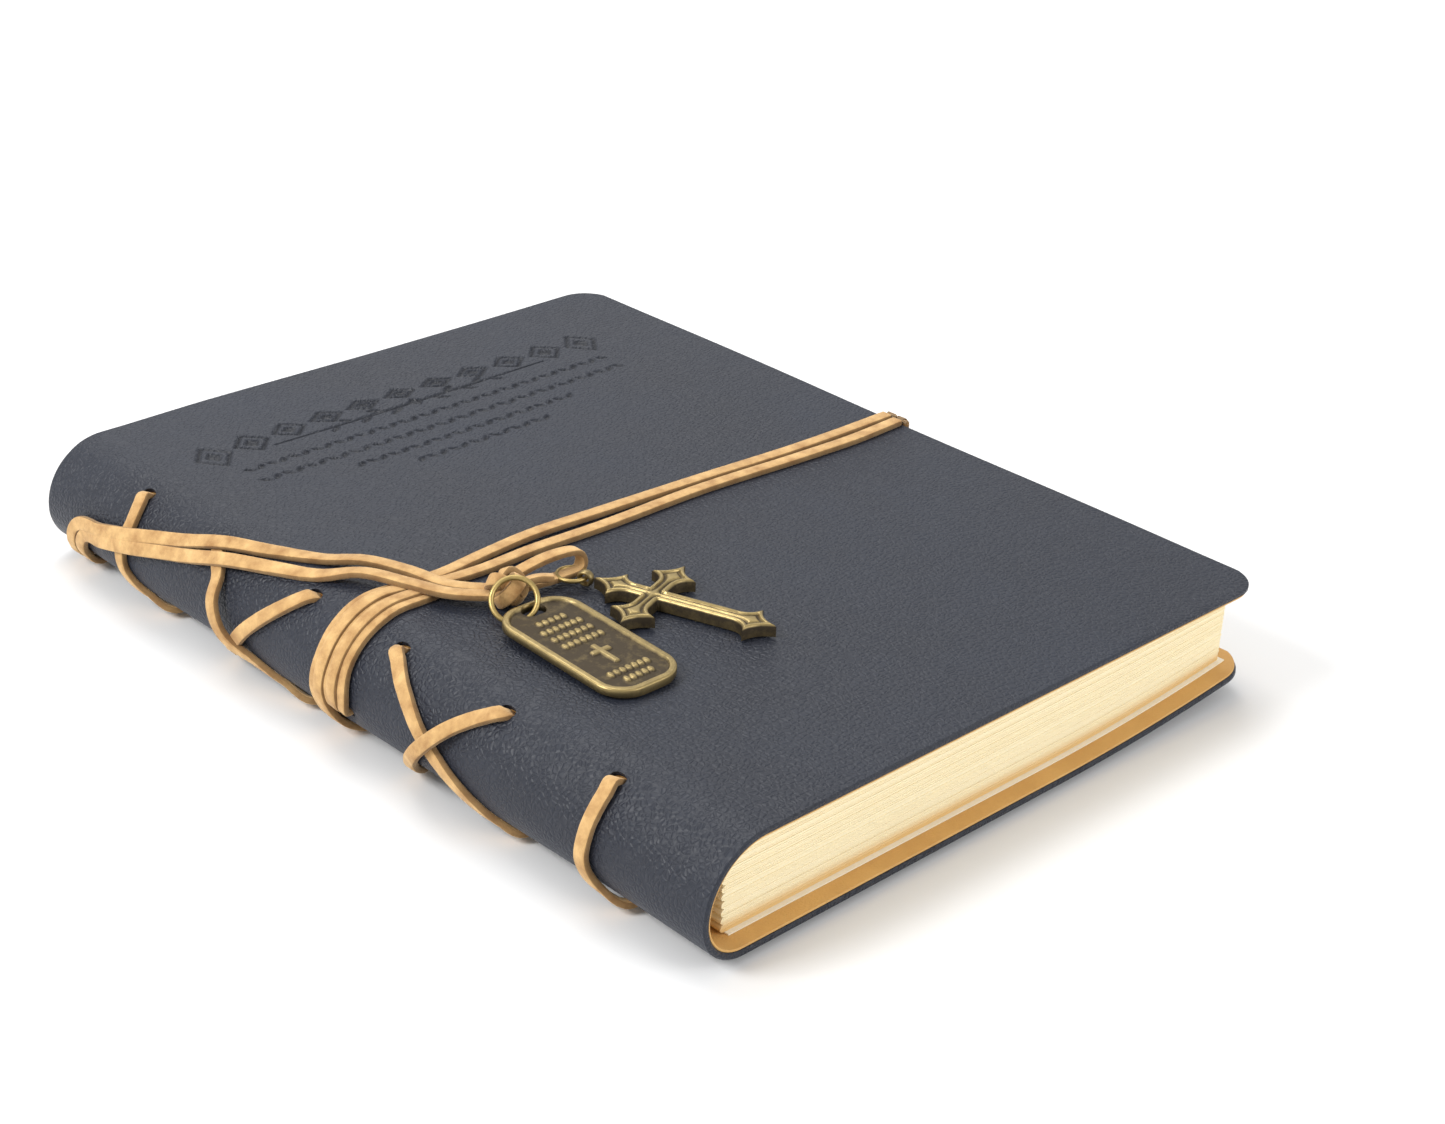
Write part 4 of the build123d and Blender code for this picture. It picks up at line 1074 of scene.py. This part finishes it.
LACE_ROUTES = {
    "lace_1": (73.0, ((10.0, 71.9), (14.6, 71.0), (19.5, 72.4), (24.3, 71.8), (29.5, 67.0)), 61.0, ()),
    "lace_2": (45.0, ((10.5, 43.0), (14.0, 39.8), (18.1, 37.6), (22.5, 34.5), (27.0, 27.5), (30.5, 20.0)),
               12.0, ((14.5, 26.9),)),
    "lace_3": (15.0, ((10.0, 16.6), (12.9, 19.5), (17.1, 24.1), (21.9, 29.3), (26.5, 33.6), (30.5, 37.2)),
               39.0, ()),
    "lace_4": (-12.5, ((9.9, -15.0), (12.4, -18.2), (14.9, -21.8), (18.6, -27.0), (22.6, -34.0),
                       (27.0, -41.5), (30.5, -46.4)), -50.0, ()),
    "lace_5": (-43.0, ((10.3, -40.2), (12.6, -37.3), (17.4, -32.6), (21.9, -27.9), (26.7, -23.4),
                       (30.5, -21.2)), -20.0, ((14.5, 24.0),)),
    "lace_6": (-72.5, ((10.5, -73.1), (12.9, -73.1), (18.3, -72.8), (23.4, -72.6), (28.4, -74.6)), -79.0, ()),
}
for number, (lace_name, lace_points) in enumerate(LACE_ROUTES.items()):
    laid_strap(lace_name + "_suede", [lace_route(*lace_points)], [lace_name], seed=float(number))

# %% [markdown]
# The tie is bunched at the middle of the spine and crosses itself on the cover. Two strands go on
# to the fore-edge, three end in the spine, and two slant along the spine and into the knot.

# %% The wrap tie: bunched on the spine, crossing on the cover
BUNCHED = 0.62      # every other bunched strand is squeezed up this far


def bundle(y):
    """A bunched strand on the spine from the fold of the cover, down to t 24."""
    return [(-1.0, y * 0.9, FLAT), (5.0, y, FLAT), (10.6, y, FLAT), (16.0, y, FLAT), (22.0, y * 1.15, FLAT)]


def lifted(route, amount):
    """The same route, further off the hide."""
    return [(t, y, lift + amount) for t, y, lift in route]


LOW_FRONT = ((-139.4, -3.4), (-123.0, -4.1), (-108.0, -3.5), (-80.0, -1.6), (-52.0, -1.5), (-34.0, -0.8),
             (-21.0, -1.2))
HIGH_FRONT = ((-139.4, -0.2), (-126.7, -0.4), (-111.0, -0.2), (-82.9, 1.7), (-56.2, 3.4), (-38.3, 4.3),
              (-24.4, 3.1))
low_front = [(t, y, FLAT) for t, y in LOW_FRONT]
high_front = [(t, y, FLAT + 0.25) for t, y in HIGH_FRONT]
first_strand = high_front + [(-14.0, 1.9, 1.0), (-7.0, 2.6, FLAT)]
first_strand += bundle(3.7) + [(29.0, 3.4, FLAT), (36.8, 3.0, FLAT)]
second_strand = low_front + [(-14.0, -0.6, FLAT), (-7.0, 0.6, 1.15)]
second_strand += lifted(bundle(1.9), BUNCHED) + [(29.0, 0.6, 0.9), (36.8, -0.4, FLAT)]
inner_strands = []
for y, extra in ((0.05, 0.0), (-1.85, BUNCHED), (-3.7, 0.0)):
    inner = [(-12.0, y * 0.6 - 0.6, FLAT + extra * 0.6), (-6.0, y * 0.8 - 0.5, FLAT + extra)]
    inner += lifted(bundle(y), extra) + [(24.6, y, 0.35), (25.6, y, -2.4)]
    inner_strands.append(inner)


def over_edge(points, sideways, y):
    """Takes a front strand over the fore-edge of the cover and a little down it."""
    bend = [(77.6, y, TOP + 0.45), (78.05, y, TOP - 0.1), (78.15, y, TOP - 0.8)]
    points = np.vstack([np.array(bend)[::-1], points[1:]])
    sideways = np.vstack([np.tile([0.0, 1.0, 0.0], (3, 1)), sideways[1:]])
    return points, sideways


long_lines = []
for strand, edge_y in ((first_strand, -0.2), (second_strand, -3.4)):
    points, sideways = laid(strand)
    points, sideways = over_edge(points, sideways, edge_y)
    long_lines.append((points, facing_of(points, sideways)))
long_mesh = strap_mesh("tie_long_strands", long_lines, width=2.9, seed=11.0)
tie_long = new_piece("tie_long_strands", long_mesh, suede)
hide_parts("tie_strand_front_1", "tie_strand_front_2")
bend_over_hinge(tie_long)
laid_strap("tie_bunched_strands", inner_strands, ["tie_bundle_front", "tie_bundle_spine"], COVER_BODY,
           width=2.7, seed=12.0)

SLANT_HIGH = ((27.5, 93.6), (21.0, 89.4), (18.2, 78.1), (15.8, 67.9), (12.4, 56.2), (8.5, 43.4), (4.4, 32.0),
              (0.0, 22.4), (-4.7, 14.1), (-8.5, 4.9), (-10.8, -4.6), (-14.2, -10.3), (-16.6, -12.6))
SLANT_LOW = ((28.0, 90.2), (22.4, 86.6), (20.2, 77.7), (17.9, 66.8), (14.7, 54.0), (11.0, 40.3), (7.2, 27.8),
             (3.6, 17.5), (-1.1, 9.3), (-5.0, 0.3), (-8.4, -7.6), (-12.6, -12.4), (-15.8, -14.6))


def slant(points, hole_y, lower):
    """A slanting strand: over two laces on the spine, over the bunched strands, and into the knot."""
    route = [(35.2, hole_y, -2.2), (34.3, hole_y - 0.2, -0.4), (32.6, hole_y - 0.7, 0.7)]
    for t, y in points:
        lift = FLAT
        if 64 < y < 80 or 36 < y < 50:
            lift += OVER * 0.8
        if -9 < y < 16:
            lift += OVER + (0.35 if lower else 0.0)
        if y <= -9:
            lift += 1.9
        route.append((t, y, lift))
    return route


laid_strap("tie_slanting_strands", [slant(SLANT_HIGH, 96.5, False), slant(SLANT_LOW, 91.5, True)],
           ["tie_diagonal_spine", "tie_diagonal_front"], COVER_BODY, seed=13.0)

# %% [markdown]
# Below the book the tie runs straight, and the book lies on it. Up the fore-edge it rises to the
# front strands, and stays with the back cover.

# %% The tie under the book and up the fore-edge
under_lines = []
EDGE_X = 78.15
for y in (3.0, -0.4):
    points, sideways = laid([(t, y, FLAT) for t in (36.8, 60.0, 120.0, BACK_EDGE_T - 0.8)])
    bend = np.array([(77.5, y, 4.6), (78.0, y, 4.95), (EDGE_X, y, 5.6)])
    points = np.vstack([points, bend])
    sideways = np.vstack([sideways, np.tile(sideways[-1], (3, 1))])
    under_lines.append((points, facing_of(points, sideways)))
under_mesh = strap_mesh("tie_under_book", under_lines, seed=14.0)
tie_under = new_piece("tie_under_book", under_mesh, suede, SPINE_BODY)
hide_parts("tie_strands_back")
edge_lines = []
for low_y, high_y in ((3.0, -0.2), (-0.4, -3.4)):
    middle = (EDGE_X, (low_y + high_y) / 2, 15.0)
    points = smooth_route([(EDGE_X, low_y, 5.6), middle, (EDGE_X, high_y, TOP - 0.8)])
    edge_lines.append((points, np.tile([1.0, 0.0, 0.0], (len(points), 1))))
edge_mesh = strap_mesh("tie_up_fore_edge", edge_lines, width=2.9, seed=15.0)
tie_edge = new_piece("tie_up_fore_edge", edge_mesh, suede, SPINE_BODY)
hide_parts("tie_strands_fore_edge")
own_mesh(tie_edge)

# %% [markdown]
# The knot is one strap tied over and under itself, so its path is a small trefoil, with a second
# smaller one inside that fills it, and a short cut end.

# %% Knot and its stub
KNOT_CENTRE = np.array([-45.9, -14.2, TOP + 3.25])
angle = np.linspace(0, 2 * pi, 110)
reach = 2.35 + 1.0 * np.cos(3 * angle)
knot_points = KNOT_CENTRE + np.stack([1.05 * reach * np.cos(2 * angle), 0.95 * reach * np.sin(2 * angle),
                                      2.2 * np.sin(3 * angle) + 0.4], -1)
knot_facing = knot_points - KNOT_CENTRE + np.array([0, 0, 0.6])
knot_facing /= np.linalg.norm(knot_facing, axis=1)[:, None]
stub_points = smooth_route([(-45.2, -14.4, TOP + 3.2), (-42.6, -15.6, TOP + 4.2), (-40.0, -17.0, TOP + 4.7),
                            (-37.9, -18.5, TOP + 4.6)])
stub_facing = np.tile([0.1, 0.25, 0.96], (len(stub_points), 1))
core_points = KNOT_CENTRE + (knot_points - KNOT_CENTRE) * 0.5
knot_lines = [(knot_points, knot_facing), (core_points, knot_facing), (stub_points, stub_facing)]
knot_mesh = strap_mesh("tie_knot_suede", knot_lines, width=3.0, thickness=1.5, seed=16.0)
knot = new_piece("tie_knot_suede", knot_mesh, suede, COVER_BODY)
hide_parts("tie_knot")

# %% [markdown]
# The loop leaves the knot, goes round the cross's ring and comes back. It's the free cord, so its
# strap follows the NURBS line that was made first.

# %% Loop of lace that carries the cross
loop_mm = loop_line / MM
loop_side = np.tile([0.0, -1.0, 0.0], (len(loop_mm), 1))
loop_lines = [(loop_mm, facing_of(loop_mm, loop_side))]
loop_mesh = strap_mesh("tie_loop_suede", loop_lines, width=2.9, thickness=1.3, seed=17.0, nap=0.16)
loop = new_piece("tie_loop_suede", loop_mesh, suede, COVER_BODY)
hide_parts("tie_loop")

# %% [markdown]
# Rings are brass wire bent round, so each is a closed tube. The mask that the metal's wear reads is
# one even value all round a ring.

# %% Wire rings
def wire_ring(name, centre, normal, radius, wire, node, body):
    """A ring of round wire."""
    axis = Vector(normal).normalized()
    first = axis.orthogonal().normalized()
    second = axis.cross(first)
    outlines = []
    for k in range(72):
        a = 2 * pi * k / 72
        out = first * cos(a) + second * sin(a)
        outlines.append([Vector(centre) + out * (radius + wire * cos(b)) + axis * wire * sin(b)
                         for b in (2 * pi * j / 16 for j in range(16))])
    outlines.append(outlines[0])
    mesh = skin(name, outlines, sharp=180.0, caps=False)
    merge(mesh, 0.00001)
    set_mask(mesh, "proud", [0.55] * len(mesh.vertices))
    ring = new_piece(name, mesh, ring_brass, body)
    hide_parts(node)
    return ring


def merge(mesh, distance):
    """Joins points that coincide, and turns the faces outwards."""
    work = bmesh.new()
    work.from_mesh(mesh)
    bmesh.ops.remove_doubles(work, verts=work.verts, dist=distance)
    bmesh.ops.recalc_face_normals(work, faces=work.faces)
    work.to_mesh(mesh)
    work.free()


CROSS_EYE = np.array([-29.8, -18.55, TOP + 2.0])
CROSS_TURN = radians(19.9)
FOOT_WAY = np.array([sin(CROSS_TURN), -cos(CROSS_TURN), 0.0])
ARM_WAY = np.array([cos(CROSS_TURN), sin(CROSS_TURN), 0.0])
TAG_RING_AT = (-48.7, -19.7, TOP + 4.0)
TAG_RING_AXIS = (-0.52, -0.52, 0.68)
CROSS_RING_R = 3.0
cross_ring_at = tuple(CROSS_EYE - CROSS_RING_R * FOOT_WAY)
wire_ring("tag_wire_ring", TAG_RING_AT, TAG_RING_AXIS, 4.4, 0.55, "tag_ring", COVER_BODY)
wire_ring("cross_wire_ring", cross_ring_at, (0, 0, 1), CROSS_RING_R, 0.45, "cross_ring", COVER_BODY)

# %% [markdown]
# The name tag is a plate with rounded corners, a raised rim and a plain relief of bars of small
# beads and a little cross. Its face is a fine grid raised by a height for each point, and the slot
# for the ring is cut through afterwards.

# %% Name tag
TAG_HOLE = np.array([-47.06, -23.45, TOP + 2.4])
TAG_TILT = radians(1.9)
TAG_L, TAG_W, TAG_T = 36.4, 17.8, 1.8
TAG_HEAD, TAG_CORNER = 2.6, 6.2
TAG_RIM, TAG_RECESS, TAG_RELIEF = 1.25, 0.55, 0.42
tag_across = np.array([1.0, 0.0, 0.0])
tag_down = np.array([0.0, -cos(TAG_TILT), -sin(TAG_TILT)])
tag_out = np.array([0.0, -sin(TAG_TILT), cos(TAG_TILT)])
tag_middle = TAG_L / 2 - TAG_HEAD


def rounded_box(u, v, half_u, half_v, corner):
    """Distance to a rounded rectangle, negative inside."""
    a = np.abs(u) - half_u + corner
    b = np.abs(v) - half_v + corner
    return np.hypot(np.maximum(a, 0), np.maximum(b, 0)) + np.minimum(np.maximum(a, b), 0) - corner


def tag_relief(u, v):
    """What stands up from the tag's recessed face, from 0 to 1."""
    relief = np.zeros_like(u)
    for bar_v, half in ((5.0, 3.4), (8.0, 5.0), (11.0, 5.4), (14.0, 4.6), (26.6, 5.2), (29.4, 3.0)):
        pitch = 1.45
        local = u - np.round(u / pitch) * pitch
        outside = np.maximum(np.abs(np.round(u / pitch) * pitch) - half, 0)
        bead = np.hypot(local / 0.62, (v - bar_v) / 0.95) - 1 + 3 * outside
        relief = np.maximum(relief, inside(bead * 0.6, 0.16))
    upright = rounded_box(u, v - 20.2, 0.65, 3.6, 0.3)
    arms = rounded_box(u, v - 19.0, 2.3, 0.65, 0.3)
    return np.maximum(relief, inside(np.minimum(upright, arms), 0.16))


def tag_face(u, v):
    """Height of the tag's face over its middle plane."""
    depth = -rounded_box(u, v - tag_middle, TAG_W / 2, TAG_L / 2, TAG_CORNER)
    crown = TAG_T / 2 - 0.28 * np.clip(1 - depth / 0.45, 0, 1) ** 2
    drop = np.clip((depth - TAG_RIM) / 0.35, 0, 1)
    drop = drop * drop * (3 - 2 * drop)
    return crown - TAG_RECESS * drop + TAG_RELIEF * tag_relief(u, v) * drop


rows = spaced((0.0, 0.8, 0.1), (0.8, TAG_L - 0.8, 0.16), (TAG_L - 0.8, TAG_L, 0.1)) - TAG_HEAD
edge_shares = np.linspace(0.86, 1, 9)[1:]
shares = np.concatenate([-edge_shares[::-1], np.linspace(-0.86, 0.86, 86), edge_shares])
outlines = []
for v in rows:
    from_end = min(v + TAG_HEAD, TAG_L - TAG_HEAD - v)
    corner = max(TAG_CORNER - from_end, 0.0)
    half = TAG_W / 2 - TAG_CORNER + sqrt(max(TAG_CORNER ** 2 - corner ** 2, 0.0))
    u = shares * half
    high = tag_face(u, np.full_like(u, v))
    back_u = np.array([half, half - 0.25, 0.25 - half, -half])
    back_high = np.array([0.25 - TAG_T / 2, -TAG_T / 2, -TAG_T / 2, 0.25 - TAG_T / 2])
    all_u = np.concatenate([u, back_u])
    all_high = np.concatenate([high, back_high])
    outlines.append(TAG_HOLE + all_u[:, None] * tag_across + v * tag_down + all_high[:, None] * tag_out)
tag_mesh = skin("name_tag_plate", outlines, sharp=50.0)


def slot_cutter(name, half_u, half_v, deep):
    """A long round cutter through the tag at its hole."""
    corners = []
    for k in range(40):
        a = 2 * pi * k / 40
        side = (half_u - half_v) * (1 if cos(a) > 0 else -1)
        corners.append((side + half_v * cos(a), half_v * sin(a)))
    return skin(name, [[TAG_HOLE + u * tag_across + v * tag_down + h * tag_out for u, v in corners]
                       for h in (-deep, deep)])


tag_mesh = cut_away("tag", tag_mesh, slot_cutter("slot", 2.6, 1.8, 3.0))
spots = np.array([v.co[:] for v in tag_mesh.vertices]) / MM - TAG_HOLE
spot_u, spot_v, spot_h = spots[:, 0], spots @ tag_down, spots @ tag_out
face_low = TAG_T / 2 - TAG_RECESS
proud = np.clip((spot_h - face_low - 0.12) / 0.3, 0, 1)
rim_edge = np.abs(rounded_box(spot_u, spot_v - tag_middle, TAG_W / 2, TAG_L / 2, TAG_CORNER))
proud = np.where(spot_h < face_low - 0.3, 0.25, proud) * 0.72 + 0.28 * (rim_edge < 0.3)
set_mask(tag_mesh, "proud", proud)
tag = new_piece("name_tag_plate", tag_mesh, brass, "name_tag")
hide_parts("tag")

# %% [markdown]
# The cross has four flared arms with pointed ends, a raised border and a raised line along the
# middle of each arm. Each arm is a patch whose width follows the outline, and the four meet on the
# diagonals. The relief comes from the distance to the nearest edge, so it goes round every point.

# %% Cross
CROSS_LOW = TOP + 0.3
CROSS_MIDDLE = CROSS_EYE + FOOT_WAY * 14.8
CROSS_NECK, CROSS_FLARE = 1.9, 4.8
ARM_LENGTHS = (12.9, 13.4, 26.0, 13.4)


def through(p, q, r, count):
    """Points on a smooth curve through three points, without the last."""
    p, q, r = (np.array(v, float) for v in (p, q, r))
    s = np.linspace(0, 1, count, endpoint=False)[:, None]
    return (1 - s) * (1 - 2 * s) * p + 4 * s * (1 - s) * q + s * (2 * s - 1) * r


def arm_edge(length):
    """One edge of an arm, from its root to its tip, as (half width, distance out)."""
    neck = (CROSS_NECK, length - 8.6)
    flare = (CROSS_FLARE, length - 4.9)
    root = np.array([[CROSS_NECK, CROSS_NECK]])
    straight = np.array([[CROSS_NECK, v] for v in spaced((CROSS_NECK, length - 8.6, 0.5))[1:-1]])
    tip = (0.06, length)
    neck_curve = through(neck, (CROSS_NECK + 0.75, length - 6.3), flare, 14)
    tip_curve = through(flare, (1.75, length - 3.1), tip, 22)
    return np.vstack([root, straight.reshape(-1, 2), neck_curve, tip_curve, [tip]])


edges = [arm_edge(length) for length in ARM_LENGTHS]
border = []
for k, edge in enumerate(edges):
    c, s = cos(k * pi / 2), sin(k * pi / 2)
    for side in (1, -1):
        line = edge if side == 1 else edge[::-1]
        border += [(side * u * c - v * s, side * u * s + v * c) for u, v in line]
border = np.array(border)
border_next = np.roll(border, -1, axis=0)


def edge_distance(p):
    """Distance from points to the cross's outline."""
    run = border_next - border
    size = np.maximum((run ** 2).sum(1), 1e-12)
    s = np.clip(((p[:, None, :] - border) * run).sum(2) / size, 0, 1)
    return np.sqrt((((border + s[..., None] * run) - p[:, None, :]) ** 2).sum(2)).min(1)


RELIEF_AT = (0.0, 0.15, 0.4, 0.85, 1.05, 1.3, 1.5, 1.75, 3.0)
RELIEF_HIGH = (2.05, 2.4, 2.6, 2.6, 2.15, 2.1, 2.15, 2.5, 2.6)
across = np.linspace(-1, 1, 37)
points, faces, proud = [], [], []
for k, edge in enumerate(edges):
    rows = np.vstack([[(0.004, 0.004)], [(w, w) for w in np.linspace(0.3, CROSS_NECK, 7)[:-1]], edge])
    c, s = cos(k * pi / 2), sin(k * pi / 2)
    first = len(points)
    for half, v in rows:
        u = across * half
        flat = np.stack([u * c - v * s, u * s + v * c], -1)
        depth = edge_distance(flat)
        high = np.interp(depth, RELIEF_AT, RELIEF_HIGH)
        raised = np.clip((high - 2.1) / 0.4, 0, 1)
        for (a, b), h, p in zip(flat, high, raised):
            points.append((a, b, h))
            proud.append(p)
        for a, b in flat[::-1]:
            points.append((a, b, 0.0))
            proud.append(0.2)
    width = 2 * len(across)
    for row in range(len(rows) - 1):
        for j in range(width):
            on_diagonal = rows[row + 1][1] <= CROSS_NECK + 1e-6
            if on_diagonal and j in (len(across) - 1, width - 1):
                continue
            here, beside = first + row * width + j, first + row * width + (j + 1) % width
            faces.append((here, beside, beside + width, here + width))
    tip = first + (len(rows) - 1) * width
    faces.append(tuple(range(tip, tip + width)))
cross_mesh = bpy.data.meshes.new("cross_charm_cast")
points = np.array(points)
head_way = -FOOT_WAY
placed = CROSS_MIDDLE * np.array([1, 1, 0]) + points[:, :1] * ARM_WAY + points[:, 1:2] * head_way
placed[:, 2] = CROSS_LOW + points[:, 2]
cross_mesh.from_pydata((placed * MM).tolist(), [], faces)
set_mask(cross_mesh, "proud", proud)
merge(cross_mesh, 0.00003)
cross_mesh = tidy(cross_mesh, 55.0)
eye_outlines = []
for k in range(41):
    a = 2 * pi * k / 40
    out = head_way * cos(a) + np.array([0, 0, 1.0]) * sin(a)
    eye_outlines.append([CROSS_EYE + out * (1.28 + 0.46 * cos(b)) + ARM_WAY * 0.85 * sin(b)
                         for b in (2 * pi * j / 14 for j in range(14))])
eye_mesh = skin("cross_eye", eye_outlines, sharp=180.0, caps=False)
merge(eye_mesh, 0.00001)
set_mask(eye_mesh, "proud", [0.6] * len(eye_mesh.vertices))
cast_mesh = joined("cross_charm_cast", cross_mesh, eye_mesh)
cross = new_piece("cross_charm_cast", cast_mesh, brass, "cross_charm")
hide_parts("cross")
